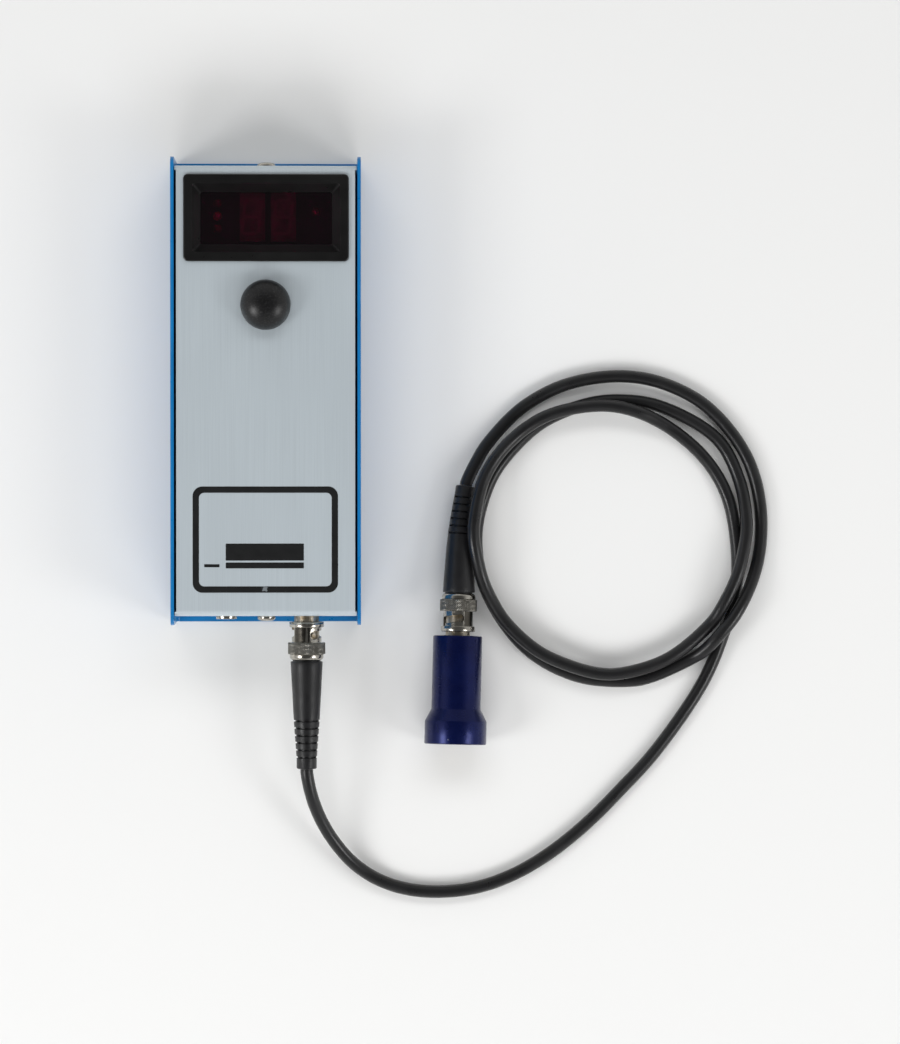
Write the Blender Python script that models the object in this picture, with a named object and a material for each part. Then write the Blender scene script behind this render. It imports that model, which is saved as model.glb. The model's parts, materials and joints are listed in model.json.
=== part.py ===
"""Ultrasonic backfat gauge: hand-held display box, coax lead and round probe.

World axes in metres: origin at the centre of the box underside, +Y towards the
display end, +Z up through the front panel, +X to the right seen from above.
"""

import math

import bmesh
import bpy
from mathutils import Matrix, Vector

GAP = 0.0003

# Case
CASE_WIDTH = 0.0722
CASE_LENGTH = 0.1778
CASE_HEIGHT = 0.041
SHEET = 0.0013
BEND_INSIDE = 0.001
EAR_CORNER = 0.003
EAR_LONG = 0.00345
PANEL_DROP = 0.0004
PANEL_EDGE_GAP = 0.0009
FLANGE_BAND = 0.0017

# Case screws and their brackets
END_Z = CASE_HEIGHT / 2
SCREW_HEAD_R = 0.0035
SCREW_HEAD_TALL = 0.0022
SCREW_SHANK_R = 0.00175
SCREW_LENGTH = 0.008
BRACKET_WIDTH = 0.012
BRACKET_FOOT = 0.012
BRACKET_TALL = END_Z + 0.006
BRACKET_SHEET = 0.0015
RIVET_R = 0.0016
RIVET_HEAD_R = 0.0029
RIVET_HEAD_TALL = 0.0012

# Display
BEZEL_END = 0.00332
BEZEL_X = 0.0002
BEZEL_SIDE = 0.00345
BEZEL_DEPTH = 0.03306
BEZEL_CORNER = 0.00175
BEZEL_RISE = 0.0012
BORDER_X = 0.0035
BORDER_Y = 0.00363
WELL_SLOPE_X = 0.00285
WELL_SLOPE_Y = 0.00295
FLOOR_DROP = 0.0046
BEZEL_LIP = 0.0004
SKIRT_WALL = 0.0017
WINDOW_THICK = 0.0015
WINDOW_MARGIN = 0.0015
SKIRT_PAST = 0.0004
DISPLAY_BOARD_EDGE_X = 0.0012
DISPLAY_BOARD_EDGE_Y = 0.0021
BOARD_THICK = 0.0016
POST_R = 0.0017
POST_PIN_R = 0.0011
POST_STAKE_R = 0.0019
POST_INSET = 0.0009
DIGIT_TALL = 0.0045
LED_R = 0.0015

# Push button
BUTTON_CLEAR = 0.006985
DOME_R = 0.009525
DOME_TALL = 0.0085
DOME_STAND = 0.0023
DOME_RIM = 0.0012
DOME_WALL = 0.0012
DOME_RECESS = 0.0036
BUTTON_TRAVEL = 0.002
BUSHING_R = DOME_R * 0.61
BUSHING_RISE = 0.0028
BUTTON_NUT_R = BUSHING_R + 0.0016
BUTTON_NUT_TALL = 0.0018
STEM_R = BUSHING_R * 0.45
STEM_DEPTH = 0.0045
SWITCH_BODY = BUSHING_R * 2.5
SWITCH_BODY_TALL = 0.013

# Coax couplings, measured along the plug from the front rim
JACK_HOUSING = 0.0144
JACK_HOUSING_LONG = 0.0135
JACK_X = BRACKET_WIDTH / 2 + JACK_HOUSING / 2 + 0.0022
BOX_PLUG_START = 0.00285
PROBE_PLUG_START = 0.0016
BARREL_R = 0.0048
BARREL_WALL = 0.00075
SLEEVE_BORE_R = BARREL_R + 0.00025
SLEEVE_R = SLEEVE_BORE_R + 0.00065
SLEEVE_LONG = 0.0066
RIM_R = SLEEVE_R + 0.0009
RIM_LONG = 0.0021
KNURL_R = SLEEVE_R + 0.0015
KNURL_LONG = 0.0043
REAR_RIM_R = SLEEVE_R + 0.0008
REAR_RIM_LONG = 0.0023
STUD_R = 0.00095
STUD_TIP_R = SLEEVE_BORE_R + 0.00045
STUD_PLACE = RIM_LONG + 0.003
SLOT_HALF = 0.0014
DETENT_R = 0.00165
SLOT_TURN = math.radians(80)
COUPLING_LEAD = 0.0005
SLOT_SLACK = 0.0003
SLOT_LIP = 0.0003
FLANGE_FRONT = RIM_LONG + SLEEVE_LONG + 0.0016
BARREL_END = FLANGE_FRONT - 0.0013
JACK_CORE_R = 0.00235
CORE_CLEAR = 0.0003
CONTACT_R = 0.0013
PIN_R = 0.00055
CONTACT_SLEEVE_R = BARREL_R - BARREL_WALL - GAP
WASHER_THICK = 0.0011
PLUG_FLANGE_R = SLEEVE_BORE_R + 0.00055
PLUG_FLANGE_LONG = 0.0009
FERRULE_R = PLUG_FLANGE_R * 0.75
FERRULE_PAST = 0.0115
SHELL_FLANGE_R = BARREL_R + 0.002
SHELL_FLANGE_LONG = 0.0018
SHELL_REAR = 0.0115
CHARGE_JACK_X = -JACK_X
CHARGE_NUT_R = 0.00405
CHARGE_NUT_LONG = 0.00145
CHARGE_BUSHING_R = 0.003
CHARGE_BODY_R = 0.0046
CHARGE_BODY_LONG = 0.0135
CHARGE_BORE_R = 0.0018
JACK_BOARD_SIDE = 0.0058
JACK_BOARD_PAST = 0.0062

# Strain-relief boots
CORD_R = 0.002475
BOOT_LONG = 0.0413
BOOT_END = RIM_LONG + SLEEVE_LONG + KNURL_LONG + REAR_RIM_LONG + BOOT_LONG
BOOT_BASE_R = REAR_RIM_R - 0.0003
BOOT_MIDDLE_R = BOOT_BASE_R * 0.8
BOOT_TIP_R = CORD_R + 0.0014
BOOT_COLLAR = 0.0036
BOOT_GROOVE_PITCH = 0.0028
BOOT_GROOVE_LONG = 0.0009
BOOT_GROOVE_DEEP = 0.0008
BOOT_GROOVES = 6
BOOT_NOSE_R = FERRULE_R + 0.0011
BOOT_BEND = math.radians(7.0)
STUD_ANGLE_BOX = math.radians(59)
STUD_ANGLE_PROBE = math.radians(100.5)

# Probe
PROBE_BODY_R = 0.009525
PROBE_BODY_LONG = 0.0284
PROBE_CONE_LONG = 0.0047
PROBE_HEAD_R = PROBE_BODY_R + 0.002475
PROBE_HEAD_LONG = 0.0089
PROBE_EDGE = 0.0005
PROBE_BORE_R = PROBE_BODY_R - 0.0017
PROBE_REAR_WALL = 0.003
LENS_R = PROBE_HEAD_R - 0.0019
LENS_THICK = 0.0022
BACKING_R = PROBE_BORE_R - 0.0004
CRYSTAL_R = BACKING_R - 0.0004
CRYSTAL_THICK = 0.0006
BACKING_LONG = 0.016
PROBE_FACE_X = 0.0728
PROBE_FACE_Y = -0.1362
PROBE_YAW = math.radians(1.48)
PROBE_SLOPE = math.radians(3.3)

# Boards, battery and their fixings
MAIN_BOARD_SIDE = 0.0028
MAIN_BOARD_RAISE = 0.0072
BOARD_POST_R = 0.003
BOARD_POST_NECK_R = 0.0014
BOARD_POST_HEAD_R = 0.0022
BOARD_POST_INSET = 0.005
CHIP_SIDE = 0.018
CHIP_TALL = 0.0024
CHIP_X = -0.014
HEADER_LONG = 0.0254
HEADER_WIDE = 0.005
CELL_R = 0.0071
CELL_LONG = 0.0505
CELL_COUNT = 4
CLAMP_WIDE = 0.012
CLAMP_SHEET = 0.001
CLAMP_FOOT = 0.0038
CLAMP_SCREW_R = 0.0011
CLAMP_SCREW_HEAD_R = 0.0017
CLAMP_SCREW_HEAD_TALL = 0.001

# Lead
CORD_POINTS = 82
CORD_EXIT = 0.004

PANEL_TOP = CASE_HEIGHT - PANEL_DROP
PANEL_UNDER = PANEL_TOP - SHEET
FACE_Y = CASE_LENGTH / 2 - EAR_LONG
PLATE_TOP = SHEET
SEAT = PLATE_TOP + GAP
INNER_W = CASE_WIDTH / 2 - SHEET
BEZEL_Y = FACE_Y - BEZEL_END - BEZEL_DEPTH / 2
BEZEL_WIDTH = 2 * (INNER_W - BEZEL_SIDE)
BUTTON_Y = BEZEL_Y - BEZEL_DEPTH / 2 - BUTTON_CLEAR - DOME_R
MOUTH_WIDTH = BEZEL_WIDTH - 2 * BORDER_X
MOUTH_DEPTH = BEZEL_DEPTH - 2 * BORDER_Y
FLOOR_WIDTH = MOUTH_WIDTH - 2 * WELL_SLOPE_X
FLOOR_DEPTH = MOUTH_DEPTH - 2 * WELL_SLOPE_Y
PLUG_LONG = RIM_LONG + SLEEVE_LONG + KNURL_LONG + REAR_RIM_LONG


for old in list(bpy.data.objects):
    bpy.data.objects.remove(old, do_unlink=True)

scene = bpy.context.scene
scene.unit_settings.system = "METRIC"


# Materials: colour, metallic, roughness
LOOKS = {
    "blue_paint": ((0.010, 0.150, 0.400), 0.0, 0.35),
    "grey_paint": ((0.480, 0.530, 0.550), 0.2, 0.38),
    "nickel": ((0.640, 0.610, 0.570), 1.0, 0.25),
    "steel": ((0.550, 0.550, 0.560), 1.0, 0.35),
    "black_plastic": ((0.012, 0.012, 0.012), 0.0, 0.45),
    "window": ((0.020, 0.003, 0.006), 0.0, 0.08),
    "digit": ((0.030, 0.002, 0.004), 0.0, 0.40),
    "led": ((0.300, 0.010, 0.020), 0.0, 0.20),
    "board": ((0.010, 0.120, 0.040), 0.0, 0.45),
    "dome": ((0.026, 0.026, 0.026), 0.0, 0.70),
    "ptfe": ((0.850, 0.850, 0.820), 0.0, 0.50),
    "gold": ((0.850, 0.600, 0.220), 1.0, 0.25),
    "boot_rubber": ((0.020, 0.020, 0.021), 0.0, 0.45),
    "cord_jacket": ((0.016, 0.016, 0.016), 0.0, 0.35),
    "probe_blue": ((0.0015, 0.005, 0.070), 0.0, 0.18),
    "lens": ((0.300, 0.260, 0.160), 0.0, 0.30),
    "ceramic": ((0.700, 0.660, 0.560), 0.0, 0.55),
    "epoxy": ((0.090, 0.090, 0.095), 0.0, 0.70),
    "nylon": ((0.800, 0.790, 0.740), 0.0, 0.50),
    "battery_wrap": ((0.020, 0.090, 0.050), 0.0, 0.40),
    "chip": ((0.015, 0.015, 0.016), 0.0, 0.60),
}
made = {}


def material(slot):
    if slot in made:
        return made[slot]
    colour, metallic, rough = LOOKS[slot]
    mat = bpy.data.materials.new(slot)
    mat.use_nodes = True
    shader = mat.node_tree.nodes["Principled BSDF"]
    shader.inputs["Base Color"].default_value = (*colour, 1.0)
    shader.inputs["Metallic"].default_value = metallic
    shader.inputs["Roughness"].default_value = rough
    mat.diffuse_color = (*colour, 1.0)
    made[slot] = mat
    return mat


def add_object(name, bm, slot=None, parent=None, smooth=None):
    """Turn a bmesh into an object; smooth is the edge angle kept sharp."""
    bmesh.ops.recalc_face_normals(bm, faces=bm.faces)
    mesh = bpy.data.meshes.new(name)
    bm.to_mesh(mesh)
    bm.free()
    obj = bpy.data.objects.new(name, mesh)
    scene.collection.objects.link(obj)
    if parent is not None:
        obj.parent = parent
    if slot is not None:
        mesh.materials.append(material(slot))
    if smooth is not None:
        mesh.shade_smooth()
        mesh.set_sharp_from_angle(angle=math.radians(smooth))
    return obj


def axis_point(axis, a, b, along):
    """Outline point (a, b) at a distance along the named axis."""
    if axis == "X":
        return (along, a, b)
    if axis == "Y":
        return (a, along, b)
    return (a, b, along)


def arc(cx, cy, r, start, end, steps):
    points = []
    for i in range(steps + 1):
        t = math.radians(start + (end - start) * i / steps)
        points.append((cx + r * math.cos(t), cy + r * math.sin(t)))
    return points


def rounded_rect(width, depth, r, cx=0.0, cy=0.0, steps=5):
    hx = width / 2 - r
    hy = depth / 2 - r
    points = arc(cx + hx, cy + hy, r, 0, 90, steps)
    points += arc(cx - hx, cy + hy, r, 90, 180, steps)
    points += arc(cx - hx, cy - hy, r, 180, 270, steps)
    points += arc(cx + hx, cy - hy, r, 270, 360, steps)
    return points


def circle(r, steps, cx=0.0, cy=0.0, turn=0.0):
    points = []
    for i in range(steps):
        t = 2 * math.pi * i / steps + turn
        points.append((cx + r * math.cos(t), cy + r * math.sin(t)))
    return points


def add_prism(bm, outline, low, high, axis="Z"):
    """Straight extrusion of a closed outline, added to a bmesh."""
    bottom = [bm.verts.new(axis_point(axis, a, b, low)) for a, b in outline]
    top = [bm.verts.new(axis_point(axis, a, b, high)) for a, b in outline]
    bm.faces.new(bottom)
    bm.faces.new(list(reversed(top)))
    count = len(outline)
    for i in range(count):
        j = (i + 1) % count
        bm.faces.new((bottom[i], top[i], top[j], bottom[j]))


def add_box(bm, x0, x1, y0, y1, z0, z1):
    add_prism(bm, [(x0, y0), (x1, y0), (x1, y1), (x0, y1)], z0, z1)


def add_rings(bm, rings, closed):
    """Skin rings of points; closed joins the last ring to the first."""
    rows = []
    for ring in rings:
        rows.append([bm.verts.new(p) for p in ring])
    pairs = list(zip(rows, rows[1:]))
    if closed:
        pairs.append((rows[-1], rows[0]))
    for a, b in pairs:
        if len(a) == 1 and len(b) == 1:
            continue
        count = max(len(a), len(b))
        for i in range(count):
            j = (i + 1) % count
            if len(a) == 1:
                bm.faces.new((a[0], b[j], b[i]))
            elif len(b) == 1:
                bm.faces.new((a[i], a[j], b[0]))
            else:
                bm.faces.new((a[i], a[j], b[j], b[i]))
    if not closed:
        if len(rows[0]) > 1:
            bm.faces.new(rows[0])
        if len(rows[-1]) > 1:
            bm.faces.new(list(reversed(rows[-1])))


def turned(name, profile, slot, closed=False, steps=48, parent=None,
           axis="Z", at=(0.0, 0.0, 0.0), smooth=35, path=None):
    """Turned piece from (radius, along) points; a path may bend its axis."""
    bm = bmesh.new()
    rings = []
    for r, along in profile:
        if path is None:
            centre = Vector((0.0, 0.0, along))
            side = Vector((1.0, 0.0, 0.0))
        else:
            centre, side = path(along)
        up = Vector((0.0, 1.0, 0.0))
        if r < 1e-7:
            rings.append([centre])
            continue
        ring = []
        for i in range(steps):
            t = 2 * math.pi * i / steps
            ring.append(centre + side * (r * math.cos(t)) + up * (r * math.sin(t)))
        rings.append(ring)
    add_rings(bm, rings, closed)
    if axis == "X":
        bm.transform(Matrix.Rotation(math.radians(90), 4, "Y"))
    if axis == "Y":
        bm.transform(Matrix.Rotation(math.radians(-90), 4, "X"))
    if axis == "-Y":
        bm.transform(Matrix.Rotation(math.radians(90), 4, "X"))
    obj = add_object(name, bm, slot, parent, smooth)
    obj.location = at
    return obj


def prism(name, outline, low, high, slot, axis="Z", smooth=None, at=(0.0, 0.0, 0.0)):
    bm = bmesh.new()
    add_prism(bm, outline, low, high, axis)
    obj = add_object(name, bm, slot, None, smooth)
    obj.location = at
    return obj


def boolean(target, bm, operation="DIFFERENCE", parent=None):
    """Cut or join a helper solid; the helper is a hidden wire object."""
    name = target.name + "_tool_" + str(len(target.modifiers) + 1)
    tool = add_object(name, bm, None, parent)
    tool.location = target.location if parent is not None else (0.0, 0.0, 0.0)
    tool.hide_render = True
    tool.display_type = "WIRE"
    mod = target.modifiers.new(name, "BOOLEAN")
    mod.operation = operation
    mod.solver = "EXACT"
    mod.object = tool
    return tool


def frame_empty(name, place, x_axis, y_axis, z_axis, parent=None):
    empty = bpy.data.objects.new(name, None)
    scene.collection.objects.link(empty)
    basis = Matrix((x_axis, y_axis, z_axis)).transposed()
    empty.matrix_world = Matrix.Translation(place) @ basis.to_4x4()
    if parent is not None:
        empty.parent = parent
    return empty


# Case: the back plate and side walls are one folded channel
half_w = CASE_WIDTH / 2
bend_out = BEND_INSIDE + SHEET
inner_w = INNER_W
channel = [(-half_w, CASE_HEIGHT)]
channel += arc(-half_w + bend_out, bend_out, bend_out, 180, 270, 6)
channel += arc(half_w - bend_out, bend_out, bend_out, 270, 360, 6)
channel += [(half_w, CASE_HEIGHT), (inner_w, CASE_HEIGHT)]
channel += arc(inner_w - BEND_INSIDE, bend_out, BEND_INSIDE, 0, -90, 5)
channel += arc(-inner_w + BEND_INSIDE, bend_out, BEND_INSIDE, 270, 180, 5)
channel += [(-inner_w, CASE_HEIGHT)]
rear_case = prism("rear_case", channel, -CASE_LENGTH / 2, CASE_LENGTH / 2,
                  "blue_paint", axis="Y", smooth=30)

past = 0.001
bm = bmesh.new()
for sign in (-1, 1):
    ear = arc(CASE_LENGTH / 2 - EAR_CORNER, CASE_HEIGHT - EAR_CORNER, EAR_CORNER, 90, 0, 8)
    ear += [(CASE_LENGTH / 2 + past, CASE_HEIGHT - EAR_CORNER)]
    ear += [(CASE_LENGTH / 2 + past, CASE_HEIGHT + past)]
    ear += [(CASE_LENGTH / 2 - EAR_CORNER, CASE_HEIGHT + past)]
    add_prism(bm, [(sign * y, z) for y, z in ear], -half_w - past, half_w + past, "X")
boolean(rear_case, bm)

# Holes of the back plate for rivets, clamp screws and snap-in board posts
bracket_front = FACE_Y - SHEET - GAP
rivet_y = bracket_front - BRACKET_FOOT * 0.6
clamp_half = CELL_COUNT * CELL_R + GAP + CLAMP_SHEET
clamp_screw_x = clamp_half + CLAMP_FOOT / 2
peg_r = 0.0019
jack_board_front = -bracket_front + BRACKET_SHEET + GAP
housing_y = -FACE_Y + SHEET + 2 * GAP + SHELL_FLANGE_LONG
jack_board_end = housing_y + JACK_HOUSING_LONG + JACK_BOARD_PAST
jack_board_y = (jack_board_front + jack_board_end) / 2
jack_board_width = 2 * (INNER_W - JACK_BOARD_SIDE)
battery_y = jack_board_end + 0.0018 + CELL_LONG / 2
main_start = battery_y + CELL_LONG / 2 + 0.0033
main_end = bracket_front - BRACKET_SHEET - 0.0063
main_y = (main_start + main_end) / 2
main_width = 2 * (INNER_W - MAIN_BOARD_SIDE)
main_z = SEAT + MAIN_BOARD_RAISE
jack_board_z = END_Z - JACK_HOUSING / 2 - GAP - BOARD_THICK
main_posts = []
for sx in (-1, 1):
    for sy in (-1, 1):
        main_posts.append((sx * (main_width / 2 - BOARD_POST_INSET),
                           main_y + sy * ((main_end - main_start) / 2 - BOARD_POST_INSET)))
jack_posts = []
for sx in (-1, 1):
    jack_posts.append((sx * (jack_board_width / 2 - BOARD_POST_INSET * 0.8),
                       jack_board_end - JACK_BOARD_PAST / 2))

bm = bmesh.new()
for sign in (-1, 1):
    add_prism(bm, circle(RIVET_R + GAP, 16, 0.0, sign * rivet_y), -past, SHEET + past)
    add_prism(bm, circle(CLAMP_SCREW_R + GAP, 16, sign * clamp_screw_x, battery_y),
              -past, SHEET + past)
for x, y in main_posts + jack_posts:
    add_prism(bm, circle(peg_r + GAP, 16, x, y), -past, SHEET + past)
boolean(rear_case, bm)

# Front panel: a second folded channel, its end flanges turned down
folded = [(-FACE_Y, SEAT)]
folded += arc(-FACE_Y + bend_out, PANEL_TOP - bend_out, bend_out, 180, 90, 7)
folded += arc(FACE_Y - bend_out, PANEL_TOP - bend_out, bend_out, 90, 0, 7)
folded += [(FACE_Y, SEAT), (FACE_Y - SHEET, SEAT)]
folded += arc(FACE_Y - bend_out, PANEL_TOP - bend_out, BEND_INSIDE, 0, 90, 5)
folded += arc(-FACE_Y + bend_out, PANEL_TOP - bend_out, BEND_INSIDE, 90, 180, 5)
folded += [(-FACE_Y + SHEET, SEAT)]
flange_half = inner_w - GAP
panel_half = inner_w - PANEL_EDGE_GAP
front_panel = prism("front_panel", folded, -flange_half, flange_half,
                    "grey_paint", axis="X", smooth=30)

skirt_width = MOUTH_WIDTH + 2 * SKIRT_WALL - 2 * GAP
skirt_depth = MOUTH_DEPTH + 2 * SKIRT_WALL - 2 * GAP
bm = bmesh.new()
for sign in (-1, 1):
    add_box(bm, *sorted((sign * panel_half, sign * (flange_half + past))),
            -FACE_Y + FLANGE_BAND, FACE_Y - FLANGE_BAND, PANEL_UNDER - past, PANEL_TOP + past)
add_prism(bm, rounded_rect(skirt_width + 2 * GAP, skirt_depth + 2 * GAP, 0.0015,
                           BEZEL_X, BEZEL_Y), PANEL_UNDER - past, PANEL_TOP + past)
add_prism(bm, circle(BUSHING_R + GAP, 28, 0.0, BUTTON_Y), PANEL_UNDER - past, PANEL_TOP + past)
boolean(front_panel, bm)
bm = bmesh.new()
for sign in (-1, 1):
    ends = sorted((sign * (FACE_Y - SHEET - past), sign * (FACE_Y + past)))
    add_prism(bm, circle(SCREW_SHANK_R + GAP, 20, 0.0, END_Z), ends[0], ends[1], "Y")
ends = (-FACE_Y - past, -FACE_Y + SHEET + past)
add_prism(bm, circle(BARREL_R + GAP, 28, JACK_X, END_Z), ends[0], ends[1], "Y")
add_prism(bm, circle(CHARGE_BUSHING_R + GAP, 24, CHARGE_JACK_X, END_Z), ends[0], ends[1], "Y")
boolean(front_panel, bm)

# End brackets, rivets and case screws, one set at each end
for sign, end in ((1, "top"), (-1, "bottom")):
    high = BRACKET_TALL
    outline = [(bracket_front, high), (bracket_front, SEAT)]
    outline += [(bracket_front - BRACKET_FOOT, SEAT)]
    outline += [(bracket_front - BRACKET_FOOT, SEAT + BRACKET_SHEET)]
    outline += arc(bracket_front - BRACKET_SHEET - BEND_INSIDE,
                   SEAT + BRACKET_SHEET + BEND_INSIDE, BEND_INSIDE, -90, 0, 5)
    outline += [(bracket_front - BRACKET_SHEET, high)]
    bracket = prism("end_bracket_" + end, [(sign * y, z) for y, z in outline],
                    -BRACKET_WIDTH / 2, BRACKET_WIDTH / 2, "steel", axis="X", smooth=30)
    bm = bmesh.new()
    add_prism(bm, circle(RIVET_R + GAP, 16, 0.0, sign * rivet_y),
              SEAT - past, SEAT + BRACKET_SHEET + past)
    boolean(bracket, bm)
    bm = bmesh.new()
    ends = sorted((sign * (bracket_front + past), sign * (bracket_front - BRACKET_SHEET - past)))
    add_prism(bm, circle(SCREW_SHANK_R + GAP, 20, 0.0, END_Z), ends[0], ends[1], "Y")
    boolean(bracket, bm)

    foot_top = SEAT + BRACKET_SHEET + GAP
    rivet = [(0.0, GAP), (RIVET_R, GAP), (RIVET_R, foot_top), (RIVET_HEAD_R, foot_top)]
    rivet += [(RIVET_HEAD_R * 0.9, foot_top + RIVET_HEAD_TALL * 0.6)]
    rivet += [(RIVET_HEAD_R * 0.5, foot_top + RIVET_HEAD_TALL)]
    rivet += [(0.0, foot_top + RIVET_HEAD_TALL)]
    turned("bracket_rivet_" + end, rivet, "steel", steps=16, at=(0.0, sign * rivet_y, 0.0))

    screw = [(0.0, -SCREW_LENGTH), (SCREW_SHANK_R * 0.7, -SCREW_LENGTH)]
    screw += [(SCREW_SHANK_R, -SCREW_LENGTH + 0.0006), (SCREW_SHANK_R, GAP)]
    screw += [(SCREW_HEAD_R, GAP), (SCREW_HEAD_R, GAP + SCREW_HEAD_TALL * 0.45)]
    screw += [(SCREW_HEAD_R * 0.93, GAP + SCREW_HEAD_TALL * 0.72)]
    screw += [(SCREW_HEAD_R * 0.72, GAP + SCREW_HEAD_TALL * 0.93)]
    screw += [(SCREW_HEAD_R * 0.4, GAP + SCREW_HEAD_TALL), (0.0, GAP + SCREW_HEAD_TALL)]
    head = turned("case_screw_" + end, screw, "nickel", steps=24,
                  axis="Y" if sign > 0 else "-Y", at=(0.0, sign * FACE_Y, END_Z))
    bm = bmesh.new()
    arm = SCREW_HEAD_R * 0.56
    slot_w = 0.00045
    cross = [(slot_w, slot_w), (slot_w, arm), (-slot_w, arm), (-slot_w, slot_w)]
    cross += [(-arm, slot_w), (-arm, -slot_w), (-slot_w, -slot_w), (-slot_w, -arm)]
    cross += [(slot_w, -arm), (slot_w, -slot_w), (arm, -slot_w), (arm, slot_w)]
    ends = sorted((sign * (FACE_Y + GAP + SCREW_HEAD_TALL * 0.35), sign * (FACE_Y + 0.01)))
    add_prism(bm, [(a, b + END_Z) for a, b in cross], ends[0], ends[1], "Y")
    boolean(head, bm)

# Display bezel: one moulding with a tapered well and four heat-staked posts
bezel_top = PANEL_TOP + BEZEL_RISE
bezel_under = PANEL_TOP + GAP
floor_z = bezel_top - FLOOR_DROP
shelf_z = floor_z - BEZEL_LIP
window_top = shelf_z - GAP
skirt_z = window_top - WINDOW_THICK - SKIRT_PAST
window_width = FLOOR_WIDTH + 2 * WINDOW_MARGIN
window_depth = FLOOR_DEPTH + 2 * WINDOW_MARGIN
digit_top = window_top - WINDOW_THICK - GAP
board_seat = digit_top - DIGIT_TALL
display_board_z = board_seat - GAP - BOARD_THICK
edge = 0.0004


def bezel_ring(width, depth, r, z):
    outline = rounded_rect(width, depth, r, BEZEL_X, BEZEL_Y)
    return [(a, b, z) for a, b in outline]


bm = bmesh.new()
rings = [
    bezel_ring(BEZEL_WIDTH, BEZEL_DEPTH, BEZEL_CORNER, bezel_top - edge),
    bezel_ring(BEZEL_WIDTH - edge, BEZEL_DEPTH - edge, BEZEL_CORNER - edge / 2,
               bezel_top - edge * 0.25),
    bezel_ring(BEZEL_WIDTH - 2 * edge, BEZEL_DEPTH - 2 * edge, BEZEL_CORNER - edge, bezel_top),
    bezel_ring(MOUTH_WIDTH + edge, MOUTH_DEPTH + edge, 0.0012, bezel_top),
    bezel_ring(MOUTH_WIDTH, MOUTH_DEPTH, 0.001, bezel_top - edge),
    bezel_ring(FLOOR_WIDTH, FLOOR_DEPTH, 0.0008, floor_z),
    bezel_ring(FLOOR_WIDTH, FLOOR_DEPTH, 0.0008, shelf_z),
    bezel_ring(window_width + 2 * GAP, window_depth + 2 * GAP, 0.0008, shelf_z),
    bezel_ring(window_width + 2 * GAP, window_depth + 2 * GAP, 0.0008, skirt_z),
    bezel_ring(skirt_width, skirt_depth, 0.0012, skirt_z),
    bezel_ring(skirt_width, skirt_depth, 0.0012, bezel_under),
    bezel_ring(BEZEL_WIDTH, BEZEL_DEPTH, BEZEL_CORNER, bezel_under),
]
add_rings(bm, rings, True)
bezel = add_object("display_bezel", bm, "black_plastic", None, 30)
bezel_posts = []
for sx in (-1, 1):
    for sy in (-1, 1):
        bezel_posts.append((BEZEL_X + sx * (skirt_width / 2 - POST_INSET),
                            BEZEL_Y + sy * (skirt_depth / 2 - POST_INSET)))
bm = bmesh.new()
for x, y in bezel_posts:
    post = [(0.0, skirt_z + 0.001), (POST_R, skirt_z + 0.001)]
    post += [(POST_R, display_board_z + BOARD_THICK + GAP)]
    post += [(POST_PIN_R, display_board_z + BOARD_THICK + GAP)]
    post += [(POST_PIN_R, display_board_z - GAP), (POST_STAKE_R, display_board_z - GAP)]
    post += [(POST_STAKE_R * 0.6, display_board_z - 0.0012), (0.0, display_board_z - 0.0012)]
    rings = []
    for r, z in post:
        if r == 0.0:
            rings.append([(x, y, z)])
        else:
            rings.append([(a, b, z) for a, b in circle(r, 14, x, y)])
    add_rings(bm, rings, False)
boolean(bezel, bm, "UNION")

prism("display_window", rounded_rect(window_width, window_depth, 0.0006, BEZEL_X, BEZEL_Y),
      window_top - WINDOW_THICK, window_top, "window")

display_board = prism("display_board",
                      rounded_rect(skirt_width + 2 * DISPLAY_BOARD_EDGE_X,
                                   skirt_depth + 2 * DISPLAY_BOARD_EDGE_Y, 0.001,
                                   BEZEL_X, BEZEL_Y, 3),
                      display_board_z, display_board_z + BOARD_THICK, "board")
bm = bmesh.new()
for x, y in bezel_posts:
    add_prism(bm, circle(POST_PIN_R + GAP, 14, x, y), display_board_z - past,
              display_board_z + BOARD_THICK + past)
boolean(display_board, bm)

# Digits and lamps sit at fixed shares of the window, as the photo shows
for share, side in ((-0.106, "left"), (0.13, "right")):
    prism("digit_" + side,
          rounded_rect(FLOOR_WIDTH * 0.192, FLOOR_DEPTH * 0.93, 0.0003,
                       BEZEL_X + FLOOR_WIDTH * share, BEZEL_Y + FLOOR_DEPTH * 0.03, 2),
          board_seat, digit_top, "digit")

led_places = []
for i in range(3):
    led_places.append(("status_led_" + str(i + 1), -0.372 * FLOOR_WIDTH,
                       (0.06 + (1 - i) * 0.246) * FLOOR_DEPTH))
led_places.append(("power_led", 0.38 * FLOOR_WIDTH, 0.146 * FLOOR_DEPTH))
led_tall = digit_top - board_seat
for name, x, y in led_places:
    dome_z = led_tall - LED_R
    led = [(0.0, 0.0), (LED_R + 0.0002, 0.0), (LED_R + 0.0002, 0.0008), (LED_R, 0.0008)]
    for i in range(4):
        t = math.radians(30 * i)
        led.append((LED_R * math.cos(t) if i < 3 else 0.0, dome_z + LED_R * math.sin(t)))
    turned(name, led, "led", steps=12, at=(BEZEL_X + x, BEZEL_Y + y, board_seat))

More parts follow.
